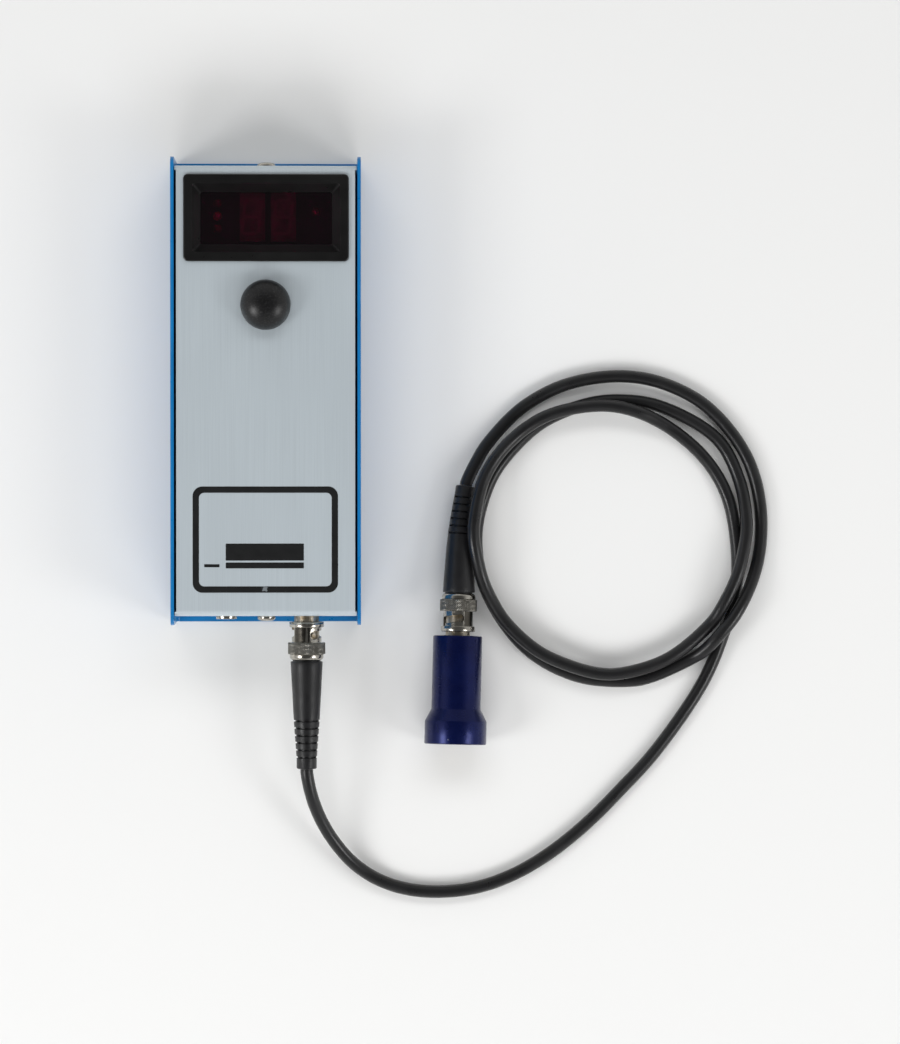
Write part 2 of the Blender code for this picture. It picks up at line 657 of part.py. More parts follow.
# Push button: dome with a hollow under it that clears the nut
dome = [(0.0, -DOME_STAND - STEM_DEPTH), (STEM_R, -DOME_STAND - STEM_DEPTH)]
dome += [(STEM_R, DOME_RECESS), (DOME_R - DOME_WALL, DOME_RECESS), (DOME_R - DOME_WALL, 0.0)]
dome += [(DOME_R - 0.0002, 0.0), (DOME_R, 0.0002), (DOME_R, DOME_RIM)]
for i in range(1, 10):
    t = math.radians(10 * i)
    r = (DOME_R - 0.0002) * math.cos(t) if i < 9 else 0.0
    dome.append((r, DOME_RIM + (DOME_TALL - DOME_RIM) * math.sin(t)))
turned("button_cap", dome, "dome", steps=32, at=(0.0, BUTTON_Y, PANEL_TOP + DOME_STAND))

bore_r = STEM_R + GAP
bore_low = -STEM_DEPTH - BUTTON_TRAVEL - 0.001
bushing = [(0.0, bore_low), (bore_r, bore_low), (bore_r, BUSHING_RISE)]
bushing += [(BUSHING_R - 0.0003, BUSHING_RISE), (BUSHING_R, BUSHING_RISE - 0.0003)]
bushing += [(BUSHING_R, -SHEET - GAP - 0.002), (0.0, -SHEET - GAP - 0.002)]
bm = bmesh.new()
switch_top = -SHEET - GAP
ring_steps = 28
rings = []
for r, z in [(bore_r, bore_low), (bore_r, BUSHING_RISE), (BUSHING_R - 0.0003, BUSHING_RISE),
             (BUSHING_R, BUSHING_RISE - 0.0003), (BUSHING_R, switch_top - 0.001)]:
    rings.append([(a, b, z) for a, b in circle(r, ring_steps)])
rings.insert(0, [(0.0, 0.0, bore_low)])
rings.append([(a, b, switch_top - SWITCH_BODY_TALL) for a, b in circle(BUSHING_R, ring_steps)])
rings.append([(0.0, 0.0, switch_top - SWITCH_BODY_TALL)])
add_rings(bm, rings, False)
switch = add_object("button_switch", bm, "black_plastic", None, 35)
switch.location = (0.0, BUTTON_Y, PANEL_TOP)
bm = bmesh.new()
half = SWITCH_BODY / 2
low = PANEL_TOP + switch_top - SWITCH_BODY_TALL - 0.001
frame_out = [(half, BUTTON_Y + half), (-half, BUTTON_Y + half)]
frame_out += [(-half, BUTTON_Y - half), (half, BUTTON_Y - half)]
collar = BUSHING_R - 0.0009
add_prism(bm, frame_out, low, PANEL_TOP + bore_low - 0.001)
boolean(switch, bm, "UNION")
bm = bmesh.new()
rings = []
shoulder_low = PANEL_TOP + bore_low - 0.0015
for r, z in [(collar, shoulder_low), (half * 0.98, shoulder_low),
             (half * 0.98, PANEL_TOP + switch_top), (collar, PANEL_TOP + switch_top)]:
    rings.append([(a, b, z) for a, b in circle(r, ring_steps, 0.0, BUTTON_Y)])
add_rings(bm, rings, True)
boolean(switch, bm, "UNION")

nut_in = BUSHING_R + GAP
nut_outline = circle(BUTTON_NUT_R, 6)
bm = bmesh.new()
add_prism(bm, nut_outline, PANEL_TOP + GAP, PANEL_TOP + GAP + BUTTON_NUT_TALL)
bmesh.ops.translate(bm, verts=bm.verts, vec=(0.0, BUTTON_Y, 0.0))
nut = add_object("button_nut", bm, "nickel")
bm = bmesh.new()
add_prism(bm, circle(nut_in, 28, 0.0, BUTTON_Y), PANEL_TOP, PANEL_TOP + 0.01)
boolean(nut, bm)


# Coax jack and plug, each built along its own +Z out of the mounting face
def jack(prefix, root, start, wall, stud_angle):
    """Barrel with two studs, insulator and contact; start is the rim place."""
    inside = -wall - GAP
    bore = BARREL_R - BARREL_WALL
    core = JACK_CORE_R + GAP
    end = start + BARREL_END
    rear = -SHELL_REAR
    shell = [(core, rear), (core, start + 0.0006), (bore, start + 0.0006), (bore, end)]
    shell += [(BARREL_R - 0.0002, end), (BARREL_R, end - 0.0003), (BARREL_R, inside)]
    shell += [(SHELL_FLANGE_R, inside), (SHELL_FLANGE_R, inside - SHELL_FLANGE_LONG)]
    shell += [(BARREL_R, inside - SHELL_FLANGE_LONG), (BARREL_R, rear)]
    body = turned(prefix + "_jack_body", shell, "nickel", closed=True, steps=24, parent=root)
    for k in range(2):
        t = stud_angle + math.pi * k
        bm = bmesh.new()
        add_prism(bm, circle(STUD_R, 16), BARREL_R - BARREL_WALL * 0.6, STUD_TIP_R)
        turn = Matrix.Rotation(t, 4, "Z") @ Matrix.Rotation(math.radians(90), 4, "Y")
        bm.transform(Matrix.Translation((0.0, 0.0, start + STUD_PLACE)) @ turn)
        boolean(body, bm, "UNION", parent=root)
    hole = CONTACT_R + GAP
    core_end = start + BARREL_END - 0.0004
    core_rear = rear - 0.0005
    insulator = [(hole, core_rear), (hole, core_end), (JACK_CORE_R, core_end)]
    insulator += [(JACK_CORE_R, core_rear)]
    turned(prefix + "_jack_insulator", insulator, "ptfe", closed=True, steps=20, parent=root)
    socket = PIN_R + GAP
    tip = core_end - 0.001
    contact = [(0.0, core_rear - 0.002), (CONTACT_R * 0.7, core_rear - 0.002)]
    contact += [(CONTACT_R, core_rear), (CONTACT_R, tip), (socket, tip)]
    contact += [(socket, tip - 0.007), (0.0, tip - 0.007)]
    turned(prefix + "_jack_contact", contact, "gold", steps=16, parent=root)


def coupling_slots(stud_angle):
    """Two helical slots as one cutter: a strip of blocks over each turn."""
    bm = bmesh.new()
    lead = COUPLING_LEAD + SLOT_SLACK
    span = SLEEVE_R * SLOT_TURN
    first = -DETENT_R
    last = span + SLOT_HALF
    steps = 16
    r_in = SLEEVE_BORE_R - 0.0006
    r_out = SLEEVE_R + 0.0004
    for k in range(2):
        rings = []
        for i in range(steps + 1):
            # Points crowd towards both ends so that they stay round
            a = first + (last - first) * (1 - math.cos(math.pi * i / steps)) / 2
            circle_part = max(DETENT_R * DETENT_R - a * a, 0.0)
            half = math.sqrt(circle_part)
            if a > 0:
                past_end = max(a - span, 0.0)
                half = max(half, math.sqrt(max(SLOT_HALF ** 2 - past_end ** 2, 0.0)))
            half = max(half, 0.00008)
            turn = min(max(a, 0.0), span) / span
            middle = STUD_PLACE - lead * turn
            t = stud_angle + math.pi * k - a / SLEEVE_R
            ring = []
            for r, z in ((r_in, middle - half), (r_in, middle + half),
                         (r_out, middle + half), (r_out, middle - half)):
                ring.append((r * math.cos(t), r * math.sin(t), z))
            rings.append(ring)
        add_rings(bm, rings, False)
    return bm


def slot_ends(stud_angle, half, reach, low):
    """Two straight cuts at the open ends of the slots, from low to the slots."""
    bm = bmesh.new()
    end = STUD_PLACE - COUPLING_LEAD - SLOT_SLACK
    for k in range(2):
        part = bmesh.new()
        add_box(part, SLEEVE_BORE_R - 0.0007, reach, -half, half, low, end)
        part.transform(Matrix.Rotation(stud_angle + math.pi * k - SLOT_TURN, 4, "Z"))
        mesh = bpy.data.meshes.new("slot_part")
        part.to_mesh(mesh)
        part.free()
        bm.from_mesh(mesh)
        bpy.data.meshes.remove(mesh)
    return bm


def boot_path(bend):
    """Axis of a boot: straight over the ferrule, then one even arc."""
    start = PLUG_LONG + FERRULE_PAST + 0.001
    long = BOOT_END - start

    def place(along):
        if along <= start or bend == 0.0:
            return Vector((0.0, 0.0, along)), Vector((1.0, 0.0, 0.0))
        t = bend * (along - start) / long
        radius = long / bend
        centre = Vector((-radius * (1 - math.cos(t)), 0.0, start + radius * math.sin(t)))
        side = Vector((math.cos(t), 0.0, math.sin(t)))
        return centre, side

    return place


def plug(prefix, root, stud_angle, bend):
    """Plug about the coupling; root sits at the locked front rim's centre."""
    core = JACK_CORE_R + CORE_CLEAR
    flange_front = FLANGE_FRONT
    flange_back = flange_front + PLUG_FLANGE_LONG
    washer_front = flange_back + GAP
    washer_back = washer_front + WASHER_THICK
    ferrule_end = PLUG_LONG + FERRULE_PAST
    body = [(core, 0.0014), (CONTACT_SLEEVE_R, 0.0014), (CONTACT_SLEEVE_R, flange_front - 0.0007)]
    body += [(PLUG_FLANGE_R, flange_front), (PLUG_FLANGE_R, flange_back)]
    body += [(FERRULE_R, flange_back), (FERRULE_R, ferrule_end), (core, ferrule_end)]
    turned(prefix + "_plug_body", body, "nickel", closed=True, steps=24, parent=root)

    pin = [(0.0, 0.0022), (PIN_R * 0.5, 0.0022), (PIN_R, 0.0030), (PIN_R, flange_front + 0.0001)]
    pin += [(JACK_CORE_R, flange_front + 0.0001), (JACK_CORE_R, ferrule_end - 0.002)]
    pin += [(0.0, ferrule_end - 0.002)]
    turned(prefix + "_plug_pin", pin, "gold", steps=16, parent=root)

    washer = [(FERRULE_R + GAP, washer_front), (PLUG_FLANGE_R, washer_front)]
    washer += [(PLUG_FLANGE_R, washer_back), (FERRULE_R + GAP, washer_back)]
    turned(prefix + "_plug_washer", washer, "steel", closed=True, steps=24, parent=root)

    knurl_start = RIM_LONG + SLEEVE_LONG
    knurl_end = knurl_start + KNURL_LONG
    groove_r = PLUG_FLANGE_R + GAP
    groove_front = flange_front - COUPLING_LEAD - GAP
    groove_back = washer_back + GAP
    rear_r = FERRULE_R + GAP
    nose_room = BOOT_NOSE_R + GAP
    nose_front = PLUG_LONG - 0.0008
    soft = 0.0003
    nut = [(SLEEVE_BORE_R, 0.0), (RIM_R - soft, 0.0), (RIM_R, soft), (RIM_R, RIM_LONG - soft)]
    nut += [(RIM_R - soft, RIM_LONG), (SLEEVE_R, RIM_LONG), (SLEEVE_R, knurl_start)]
    nut += [(KNURL_R - soft, knurl_start), (KNURL_R, knurl_start + soft)]
    nut += [(KNURL_R, knurl_end - soft), (KNURL_R - soft, knurl_end)]
    nut += [(REAR_RIM_R, knurl_end), (REAR_RIM_R, PLUG_LONG - 0.0012)]
    nut += [(REAR_RIM_R - 0.0002, PLUG_LONG - 0.0006), (REAR_RIM_R - 0.0006, PLUG_LONG)]
    nut += [(nose_room, PLUG_LONG), (nose_room, nose_front), (rear_r, nose_front)]
    nut += [(rear_r, groove_back), (groove_r, groove_back), (groove_r, groove_front)]
    nut += [(SLEEVE_BORE_R, groove_front)]
    coupling = turned(prefix + "_plug_coupling", nut, "nickel", closed=True, steps=32,
                      parent=root)
    boolean(coupling, coupling_slots(stud_angle), parent=root)
    # Each slot opens towards the rim, with a groove under the rim for the stud
    mouth_half = SLOT_HALF - 0.0001
    boolean(coupling, slot_ends(stud_angle, mouth_half, SLEEVE_R + 0.0008,
                                RIM_LONG + SLOT_LIP), parent=root)
    boolean(coupling, slot_ends(stud_angle, STUD_R + 0.0003, STUD_TIP_R + 0.0003, -past),
            parent=root)

    base = PLUG_LONG + COUPLING_LEAD + GAP
    nose = nose_front + COUPLING_LEAD + GAP
    middle = PLUG_LONG + BOOT_LONG * 0.56
    boot_in = FERRULE_R + GAP
    pocket = ferrule_end + GAP
    collar = BOOT_END - BOOT_COLLAR
    first_groove = collar - BOOT_GROOVE_LONG / 2 - 0.0002
    first_groove -= (BOOT_GROOVES - 1) * BOOT_GROOVE_PITCH
    boot = [(0.0, pocket), (boot_in, pocket), (boot_in, nose), (BOOT_NOSE_R, nose)]
    boot += [(BOOT_NOSE_R, base), (BOOT_BASE_R - 0.0002, base), (BOOT_BASE_R, base + 0.0003)]

    def outer(along):
        if along < middle:
            share = (along - base) / (middle - base)
            return BOOT_BASE_R + (BOOT_MIDDLE_R - BOOT_BASE_R) * share
        share = (along - middle) / (collar - middle)
        return BOOT_MIDDLE_R + (BOOT_TIP_R - BOOT_MIDDLE_R) * min(share, 1.0)

    for share in (0.3, 0.52):
        boot.append((outer(PLUG_LONG + BOOT_LONG * share), PLUG_LONG + BOOT_LONG * share))
    for i in range(BOOT_GROOVES):
        at = first_groove + i * BOOT_GROOVE_PITCH
        low = at - BOOT_GROOVE_LONG / 2
        high = at + BOOT_GROOVE_LONG / 2
        boot.append((outer(low), low))
        boot.append((outer(low) - BOOT_GROOVE_DEEP, low + 0.0001))
        boot.append((outer(high) - BOOT_GROOVE_DEEP, high - 0.0001))
        boot.append((outer(high), high))
    boot += [(BOOT_TIP_R, collar), (BOOT_TIP_R, BOOT_END - 0.0003)]
    boot += [(BOOT_TIP_R - 0.0003, BOOT_END), (0.0, BOOT_END)]
    turned(prefix + "_plug_boot", boot, "boot_rubber", steps=20, parent=root,
           path=boot_path(bend), smooth=30)


box_face = frame_empty("box_jack_frame", Vector((JACK_X, -FACE_Y, END_Z)),
                       Vector((1, 0, 0)), Vector((0, 0, 1)), Vector((0, -1, 0)))
jack("box", box_face, BOX_PLUG_START, SHEET, STUD_ANGLE_BOX)
box_rim = frame_empty("box_plug_frame",
                      Vector((JACK_X, -FACE_Y - BOX_PLUG_START, END_Z)),
                      Vector((1, 0, 0)), Vector((0, 0, 1)), Vector((0, -1, 0)))
plug("box", box_rim, STUD_ANGLE_BOX, 0.0)

# Board-mounted housing that carries the box jack inside the case
half = JACK_HOUSING / 2
square = [(JACK_X - half, END_Z - half), (JACK_X + half, END_Z - half)]
square += [(JACK_X + half, END_Z + half), (JACK_X - half, END_Z + half)]
housing = prism("box_jack_housing", square, housing_y, housing_y + JACK_HOUSING_LONG,
                "black_plastic", axis="Y")
bm = bmesh.new()
add_prism(bm, circle(BARREL_R + GAP, 28, JACK_X, END_Z), housing_y - past,
          -FACE_Y + SHELL_REAR + GAP, "Y")
boolean(housing, bm)
bm = bmesh.new()
add_prism(bm, circle(JACK_CORE_R + GAP, 20, JACK_X, END_Z), housing_y - past,
          -FACE_Y + SHELL_REAR + 0.003, "Y")
boolean(housing, bm)

# Charging jack with its ring nut
inside = -SHEET - GAP
charge = [(0.0, inside - CHARGE_BODY_LONG), (CHARGE_BODY_R, inside - CHARGE_BODY_LONG)]
charge += [(CHARGE_BODY_R, inside), (CHARGE_BUSHING_R, inside), (CHARGE_BUSHING_R, 0.0016)]
charge += [(CHARGE_BORE_R + 0.0002, 0.0016), (CHARGE_BORE_R, 0.0013), (CHARGE_BORE_R, -0.010)]
charge += [(0.0, -0.010)]
turned("charge_jack_body", charge, "black_plastic", steps=24, axis="-Y",
       at=(CHARGE_JACK_X, -FACE_Y, END_Z))
ring = [(CHARGE_BUSHING_R + GAP, GAP), (CHARGE_NUT_R, GAP)]
ring += [(CHARGE_NUT_R, GAP + CHARGE_NUT_LONG - 0.0003)]
ring += [(CHARGE_NUT_R - 0.0003, GAP + CHARGE_NUT_LONG)]
ring += [(CHARGE_BUSHING_R + GAP, GAP + CHARGE_NUT_LONG)]
turned("charge_jack_nut", ring, "nickel", closed=True, steps=24, axis="-Y",
       at=(CHARGE_JACK_X, -FACE_Y, END_Z))


# Printed boards on snap-in posts
def board(name, width, depth, cx, cy, z, posts):
    piece = prism(name, rounded_rect(width, depth, 0.001, cx, cy, 3), z, z + BOARD_THICK,
                  "board")
    bm = bmesh.new()
    for x, y in posts:
        add_prism(bm, circle(BOARD_POST_NECK_R + GAP, 14, x, y), z - past,
                  z + BOARD_THICK + past)
    boolean(piece, bm)
    for i, (x, y) in enumerate(posts):
        top = z + BOARD_THICK + GAP
        post = [(0.0, GAP), (peg_r, GAP), (peg_r, SEAT), (BOARD_POST_R, SEAT)]
        post += [(BOARD_POST_R, z - GAP), (BOARD_POST_NECK_R, z - GAP)]
        post += [(BOARD_POST_NECK_R, top), (BOARD_POST_HEAD_R, top)]
        post += [(BOARD_POST_NECK_R * 0.6, top + 0.0025), (0.0, top + 0.0025)]
        turned(name + "_post_" + str(i + 1), post, "nylon", steps=12, at=(x, y, 0.0))


board("main_board", main_width, main_end - main_start, 0.0, main_y, main_z, main_posts)
board("jack_board", jack_board_width, jack_board_end - jack_board_front, 0.0, jack_board_y,
      jack_board_z, jack_posts)

chip_z = main_z + BOARD_THICK + GAP
header_y = BEZEL_Y - skirt_depth / 2 + HEADER_WIDE / 2
chip_y = (main_start + header_y - HEADER_WIDE / 2) / 2
prism("processor_chip", rounded_rect(CHIP_SIDE, CHIP_SIDE, 0.0004, CHIP_X, chip_y, 2),
      chip_z, chip_z + CHIP_TALL, "chip")
prism("board_header", rounded_rect(HEADER_LONG, HEADER_WIDE, 0.0002, 0.0, header_y, 2),
      chip_z, display_board_z - GAP, "black_plastic")

# Battery pack: cells side by side in one shrink wrap, under a clamp
cells = []
count = CELL_COUNT
first_x = -(count - 1) * CELL_R
middle_z = SEAT + CELL_R
for i in range(count):
    lower = 270 - 52 if i > 0 else 180
    upper = 270 + 52 if i < count - 1 else 360
    cells += arc(first_x + 2 * CELL_R * i, middle_z, CELL_R, lower, upper, 10)
for i in reversed(range(count)):
    lower = 90 - 52 if i < count - 1 else 0
    upper = 90 + 52 if i > 0 else 180
    steps = 10
    row = arc(first_x + 2 * CELL_R * i, middle_z, CELL_R, lower, upper, steps)
    if i == count - 1:
        row = row[1:]
    if i == 0:
        row = row[:-1]
    cells += row
prism("battery_pack", cells, battery_y - CELL_LONG / 2, battery_y + CELL_LONG / 2,
      "battery_wrap", axis="Y", smooth=30)

pack_top = SEAT + 2 * CELL_R + GAP
strap = [(-clamp_half - CLAMP_FOOT, SEAT), (-clamp_half + CLAMP_SHEET, SEAT)]
strap += [(-clamp_half + CLAMP_SHEET, pack_top), (clamp_half - CLAMP_SHEET, pack_top)]
strap += [(clamp_half - CLAMP_SHEET, SEAT), (clamp_half + CLAMP_FOOT, SEAT)]
strap += [(clamp_half + CLAMP_FOOT, SEAT + CLAMP_SHEET), (clamp_half, SEAT + CLAMP_SHEET)]
strap += [(clamp_half, pack_top + CLAMP_SHEET), (-clamp_half, pack_top + CLAMP_SHEET)]
strap += [(-clamp_half, SEAT + CLAMP_SHEET), (-clamp_half - CLAMP_FOOT, SEAT + CLAMP_SHEET)]
clamp = prism("battery_clamp", strap, battery_y - CLAMP_WIDE / 2, battery_y + CLAMP_WIDE / 2,
              "steel", axis="Y")
bm = bmesh.new()
for sign in (-1, 1):
    add_prism(bm, circle(CLAMP_SCREW_R + GAP, 16, sign * clamp_screw_x, battery_y),
              SEAT - past, SEAT + CLAMP_SHEET + past)
boolean(clamp, bm)
for sign, side in ((-1, "left"), (1, "right")):
    seat = SEAT + CLAMP_SHEET + GAP
    screw = [(0.0, GAP), (CLAMP_SCREW_R, GAP), (CLAMP_SCREW_R, seat)]
    screw += [(CLAMP_SCREW_HEAD_R, seat)]
    screw += [(CLAMP_SCREW_HEAD_R, seat + CLAMP_SCREW_HEAD_TALL * 0.6)]
    screw += [(CLAMP_SCREW_HEAD_R * 0.6, seat + CLAMP_SCREW_HEAD_TALL)]
    screw += [(0.0, seat + CLAMP_SCREW_HEAD_TALL)]
    turned("clamp_screw_" + side, screw, "steel", steps=16,
           at=(sign * clamp_screw_x, battery_y, 0.0))

# Probe: it lies on the rim of its head, its axis sloping down to the lead
probe_long = PROBE_HEAD_LONG + PROBE_CONE_LONG + PROBE_BODY_LONG
out = Vector((math.sin(PROBE_YAW) * math.cos(PROBE_SLOPE),
              math.cos(PROBE_YAW) * math.cos(PROBE_SLOPE), -math.sin(PROBE_SLOPE)))
side = Vector((0, 0, 1)).cross(out).normalized()
above = out.cross(side)
probe_front_z = PROBE_HEAD_R * math.cos(PROBE_SLOPE)
probe_front_z += (PROBE_HEAD_LONG - PROBE_EDGE * 0.5) * math.sin(PROBE_SLOPE) + 0.00001
front = Vector((PROBE_FACE_X, PROBE_FACE_Y, probe_front_z))
probe_rear = front + out * probe_long
probe_face = frame_empty("probe_jack_frame", probe_rear, side, above, out)
probe_rim = frame_empty("probe_plug_frame", probe_rear + out * PROBE_PLUG_START,
                        side, above, out)

lens_room = LENS_R + GAP
body_start = -PROBE_BODY_LONG
head_rear = body_start - PROBE_CONE_LONG
soft = PROBE_EDGE * 0.3
shell = [(PROBE_HEAD_R - PROBE_EDGE, -probe_long), (PROBE_HEAD_R - soft, -probe_long + soft)]
shell += [(PROBE_HEAD_R, -probe_long + PROBE_EDGE), (PROBE_HEAD_R, head_rear - PROBE_EDGE * 0.5)]
shell += [(PROBE_HEAD_R - soft, head_rear), (PROBE_BODY_R + soft, body_start - soft)]
shell += [(PROBE_BODY_R, body_start + PROBE_EDGE), (PROBE_BODY_R, -PROBE_EDGE)]
shell += [(PROBE_BODY_R - soft, -soft), (PROBE_BODY_R - PROBE_EDGE, 0.0)]
shell += [(BARREL_R + GAP, 0.0), (BARREL_R + GAP, -PROBE_REAR_WALL)]
shell += [(PROBE_BORE_R, -PROBE_REAR_WALL), (PROBE_BORE_R, -probe_long + LENS_THICK + GAP)]
shell += [(lens_room, -probe_long + LENS_THICK + GAP), (lens_room, -probe_long)]
turned("probe_housing", shell, "probe_blue", closed=True, steps=40, parent=probe_face)

lens = [(0.0, -probe_long), (LENS_R - 0.0003, -probe_long), (LENS_R, -probe_long + 0.0003)]
lens += [(LENS_R, -probe_long + LENS_THICK), (0.0, -probe_long + LENS_THICK)]
turned("probe_lens", lens, "lens", steps=36, parent=probe_face)
at = -probe_long + LENS_THICK + GAP
turned("probe_crystal", [(0.0, at), (CRYSTAL_R, at), (CRYSTAL_R, at + CRYSTAL_THICK),
                         (0.0, at + CRYSTAL_THICK)], "ceramic", steps=24, parent=probe_face)
at += CRYSTAL_THICK + GAP
turned("probe_backing", [(0.0, at), (BACKING_R, at), (BACKING_R, at + BACKING_LONG),
                         (BACKING_R * 0.7, at + BACKING_LONG + 0.002),
                         (0.0, at + BACKING_LONG + 0.002)],
       "epoxy", steps=24, parent=probe_face)
jack("probe", probe_face, PROBE_PLUG_START, PROBE_REAR_WALL, STUD_ANGLE_PROBE)
plug("probe", probe_rim, STUD_ANGLE_PROBE, BOOT_BEND)

# Lead: hand-placed route points from the box boot to the probe boot, as x, y and
# the height of the lead's underside, in metres, for the sizes given above
ROUTE = [
    (0.0159, -0.1494, 0.0175), (0.0172, -0.1545, 0.0157), (0.0203, -0.1640, 0.0111),
    (0.0258, -0.1738, 0.0063), (0.0332, -0.1826, 0.0027), (0.0426, -0.1892, 0.0006),
    (0.0546, -0.1933, 0.0000), (0.0685, -0.1943, 0.0000), (0.0828, -0.1924, 0.0000),
    (0.0967, -0.1873, 0.0000), (0.1106, -0.1790, 0.0000), (0.1245, -0.1678, 0.0000),
    (0.1384, -0.1539, 0.0000), (0.1510, -0.1401, 0.0000), (0.1697, -0.1131, 0.0000),
    (0.1776, -0.0946, 0.0000), (0.1826, -0.0768, 0.0000), (0.1834, -0.0651, 0.0000),
    (0.1798, -0.0417, 0.0000), (0.1714, -0.0265, 0.0000), (0.1574, -0.0141, 0.0009),
    (0.1426, -0.0070, 0.0045), (0.1291, -0.0050, 0.0056), (0.1089, -0.0089, 0.0056),
    (0.0942, -0.0190, 0.0064), (0.0846, -0.0321, 0.0088), (0.0802, -0.0493, 0.0113),
    (0.0800, -0.0571, 0.0117), (0.0814, -0.0648, 0.0107), (0.0835, -0.0726, 0.0085),
    (0.0870, -0.0804, 0.0067), (0.0925, -0.0890, 0.0057), (0.1037, -0.0994, 0.0050),
    (0.1137, -0.1047, 0.0048), (0.1292, -0.1092, 0.0046), (0.1396, -0.1088, 0.0045),
    (0.1565, -0.1031, 0.0038), (0.1727, -0.0897, 0.0033), (0.1769, -0.0832, 0.0053),
    (0.1828, -0.0707, 0.0063), (0.1860, -0.0572, 0.0049), (0.1865, -0.0495, 0.0033),
    (0.1839, -0.0339, 0.0006), (0.1753, -0.0179, 0.0000), (0.1529, -0.0052, 0.0000),
    (0.1361, -0.0029, 0.0000), (0.1231, -0.0047, 0.0000), (0.1072, -0.0115, 0.0000),
    (0.0959, -0.0214, 0.0000), (0.0876, -0.0327, 0.0000), (0.0823, -0.0482, 0.0000),
    (0.0814, -0.0592, 0.0000), (0.0837, -0.0729, 0.0000), (0.0921, -0.0894, 0.0000),
    (0.1040, -0.1021, 0.0000), (0.1217, -0.1106, 0.0000), (0.1414, -0.1122, 0.0000),
    (0.1497, -0.1106, 0.0000), (0.1655, -0.1034, 0.0009), (0.1702, -0.1002, 0.0035),
    (0.1743, -0.0959, 0.0057), (0.1833, -0.0843, 0.0059), (0.1913, -0.0651, 0.0008),
    (0.1921, -0.0429, 0.0000), (0.1861, -0.0234, 0.0000), (0.1710, -0.0051, 0.0000),
    (0.1530, 0.0041, 0.0000), (0.1361, 0.0065, 0.0000), (0.1162, 0.0032, 0.0000),
    (0.1023, -0.0036, 0.0000), (0.0944, -0.0100, 0.0001), (0.0847, -0.0211, 0.0013),
    (0.0817, -0.0261, 0.0024), (0.0799, -0.0308, 0.0034),
]
DRAWN_START = (0.0154, -0.1452, 0.0205)
DRAWN_END = (0.07718, -0.03602, 0.00668)


def smooth_route(points, count):
    """Even points on a centripetal curve; the end points only steer it."""
    chain = list(points)
    fine = []
    for i in range(1, len(chain) - 2):
        p0, p1, p2, p3 = chain[i - 1:i + 3]
        t1 = (p1 - p0).length ** 0.5
        t2 = t1 + (p2 - p1).length ** 0.5
        t3 = t2 + (p3 - p2).length ** 0.5
        for k in range(12):
            t = t1 + (t2 - t1) * k / 12
            a1 = p0 * ((t1 - t) / t1) + p1 * (t / t1)
            a2 = p1 * ((t2 - t) / (t2 - t1)) + p2 * ((t - t1) / (t2 - t1))
            a3 = p2 * ((t3 - t) / (t3 - t2)) + p3 * ((t - t2) / (t3 - t2))
            b1 = a1 * ((t2 - t) / t2) + a2 * (t / t2)
            b2 = a2 * ((t3 - t) / (t3 - t1)) + a3 * ((t - t1) / (t3 - t1))
            fine.append(b1 * ((t2 - t) / (t2 - t1)) + b2 * ((t - t1) / (t2 - t1)))
    fine.append(chain[-2])
    reach = [0.0]
    for a, b in zip(fine, fine[1:]):
        reach.append(reach[-1] + (b - a).length)
    even = []
    j = 0
    for i in range(count):
        want = reach[-1] * i / (count - 1)
        while j < len(reach) - 2 and reach[j + 1] < want:
            j += 1
        share = (want - reach[j]) / (reach[j + 1] - reach[j])
        even.append(fine[j].lerp(fine[j + 1], share))
    return even


box_tip = box_rim.matrix_world @ Vector((0.0, 0.0, BOOT_END + GAP))
centre, tip_side = boot_path(BOOT_BEND)(BOOT_END)
tip_out = Vector((-tip_side.z, 0.0, tip_side.x))
probe_tip = probe_rim.matrix_world @ (centre + tip_out * GAP)
box_exit = box_rim.matrix_world @ Vector((0.0, 0.0, BOOT_END + GAP + CORD_EXIT))
probe_exit = probe_rim.matrix_world @ (centre + tip_out * (GAP + CORD_EXIT))
move_a = box_tip - Vector(DRAWN_START)
move_b = probe_tip - Vector(DRAWN_END)
laid = []
for i, (x, y, lift) in enumerate(ROUTE):
    # Where a size moves either end, the route follows it and still lies on the table
    share = i / (len(ROUTE) - 1)
    move = move_a * (1 - share) + move_b * share
    rise = move_a.z * max(1 - i / 6, 0.0)
    laid.append(Vector((x + move.x, y + move.y, CORD_R + lift + rise)))
route = [box_tip, box_exit] + laid + [probe_exit, probe_tip]
curve = bpy.data.curves.new("signal_cable", "CURVE")
curve.dimensions = "3D"
curve.bevel_depth = CORD_R
curve.bevel_resolution = 2
curve.use_fill_caps = True
spline = curve.splines.new("POLY")
stops = [box_tip] + smooth_route(route, CORD_POINTS) + [probe_tip]
spline.points.add(len(stops) - 1)
for point, place in zip(spline.points, stops):
    point.co = (*place, 1.0)
cable = bpy.data.objects.new("signal_cable", curve)
scene.collection.objects.link(cable)
curve.materials.append(material("cord_jacket"))
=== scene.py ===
# %% [markdown]
# # Ultrasonic backfat gauge
# A farm instrument: a folded sheet-metal box with a two-digit display and a dome button, a coax
# lead with bayonet plugs and ribbed rubber boots, and a round probe that is pressed on the
# animal. The CAD part gives every piece its place. This lesson gives each piece its finish, and
# gives the small turned and moulded pieces the fine shape that the CAD part leaves out.

# %% Load the frame
import json
import math

import bmesh
import bpy
from mathutils import Matrix, Vector


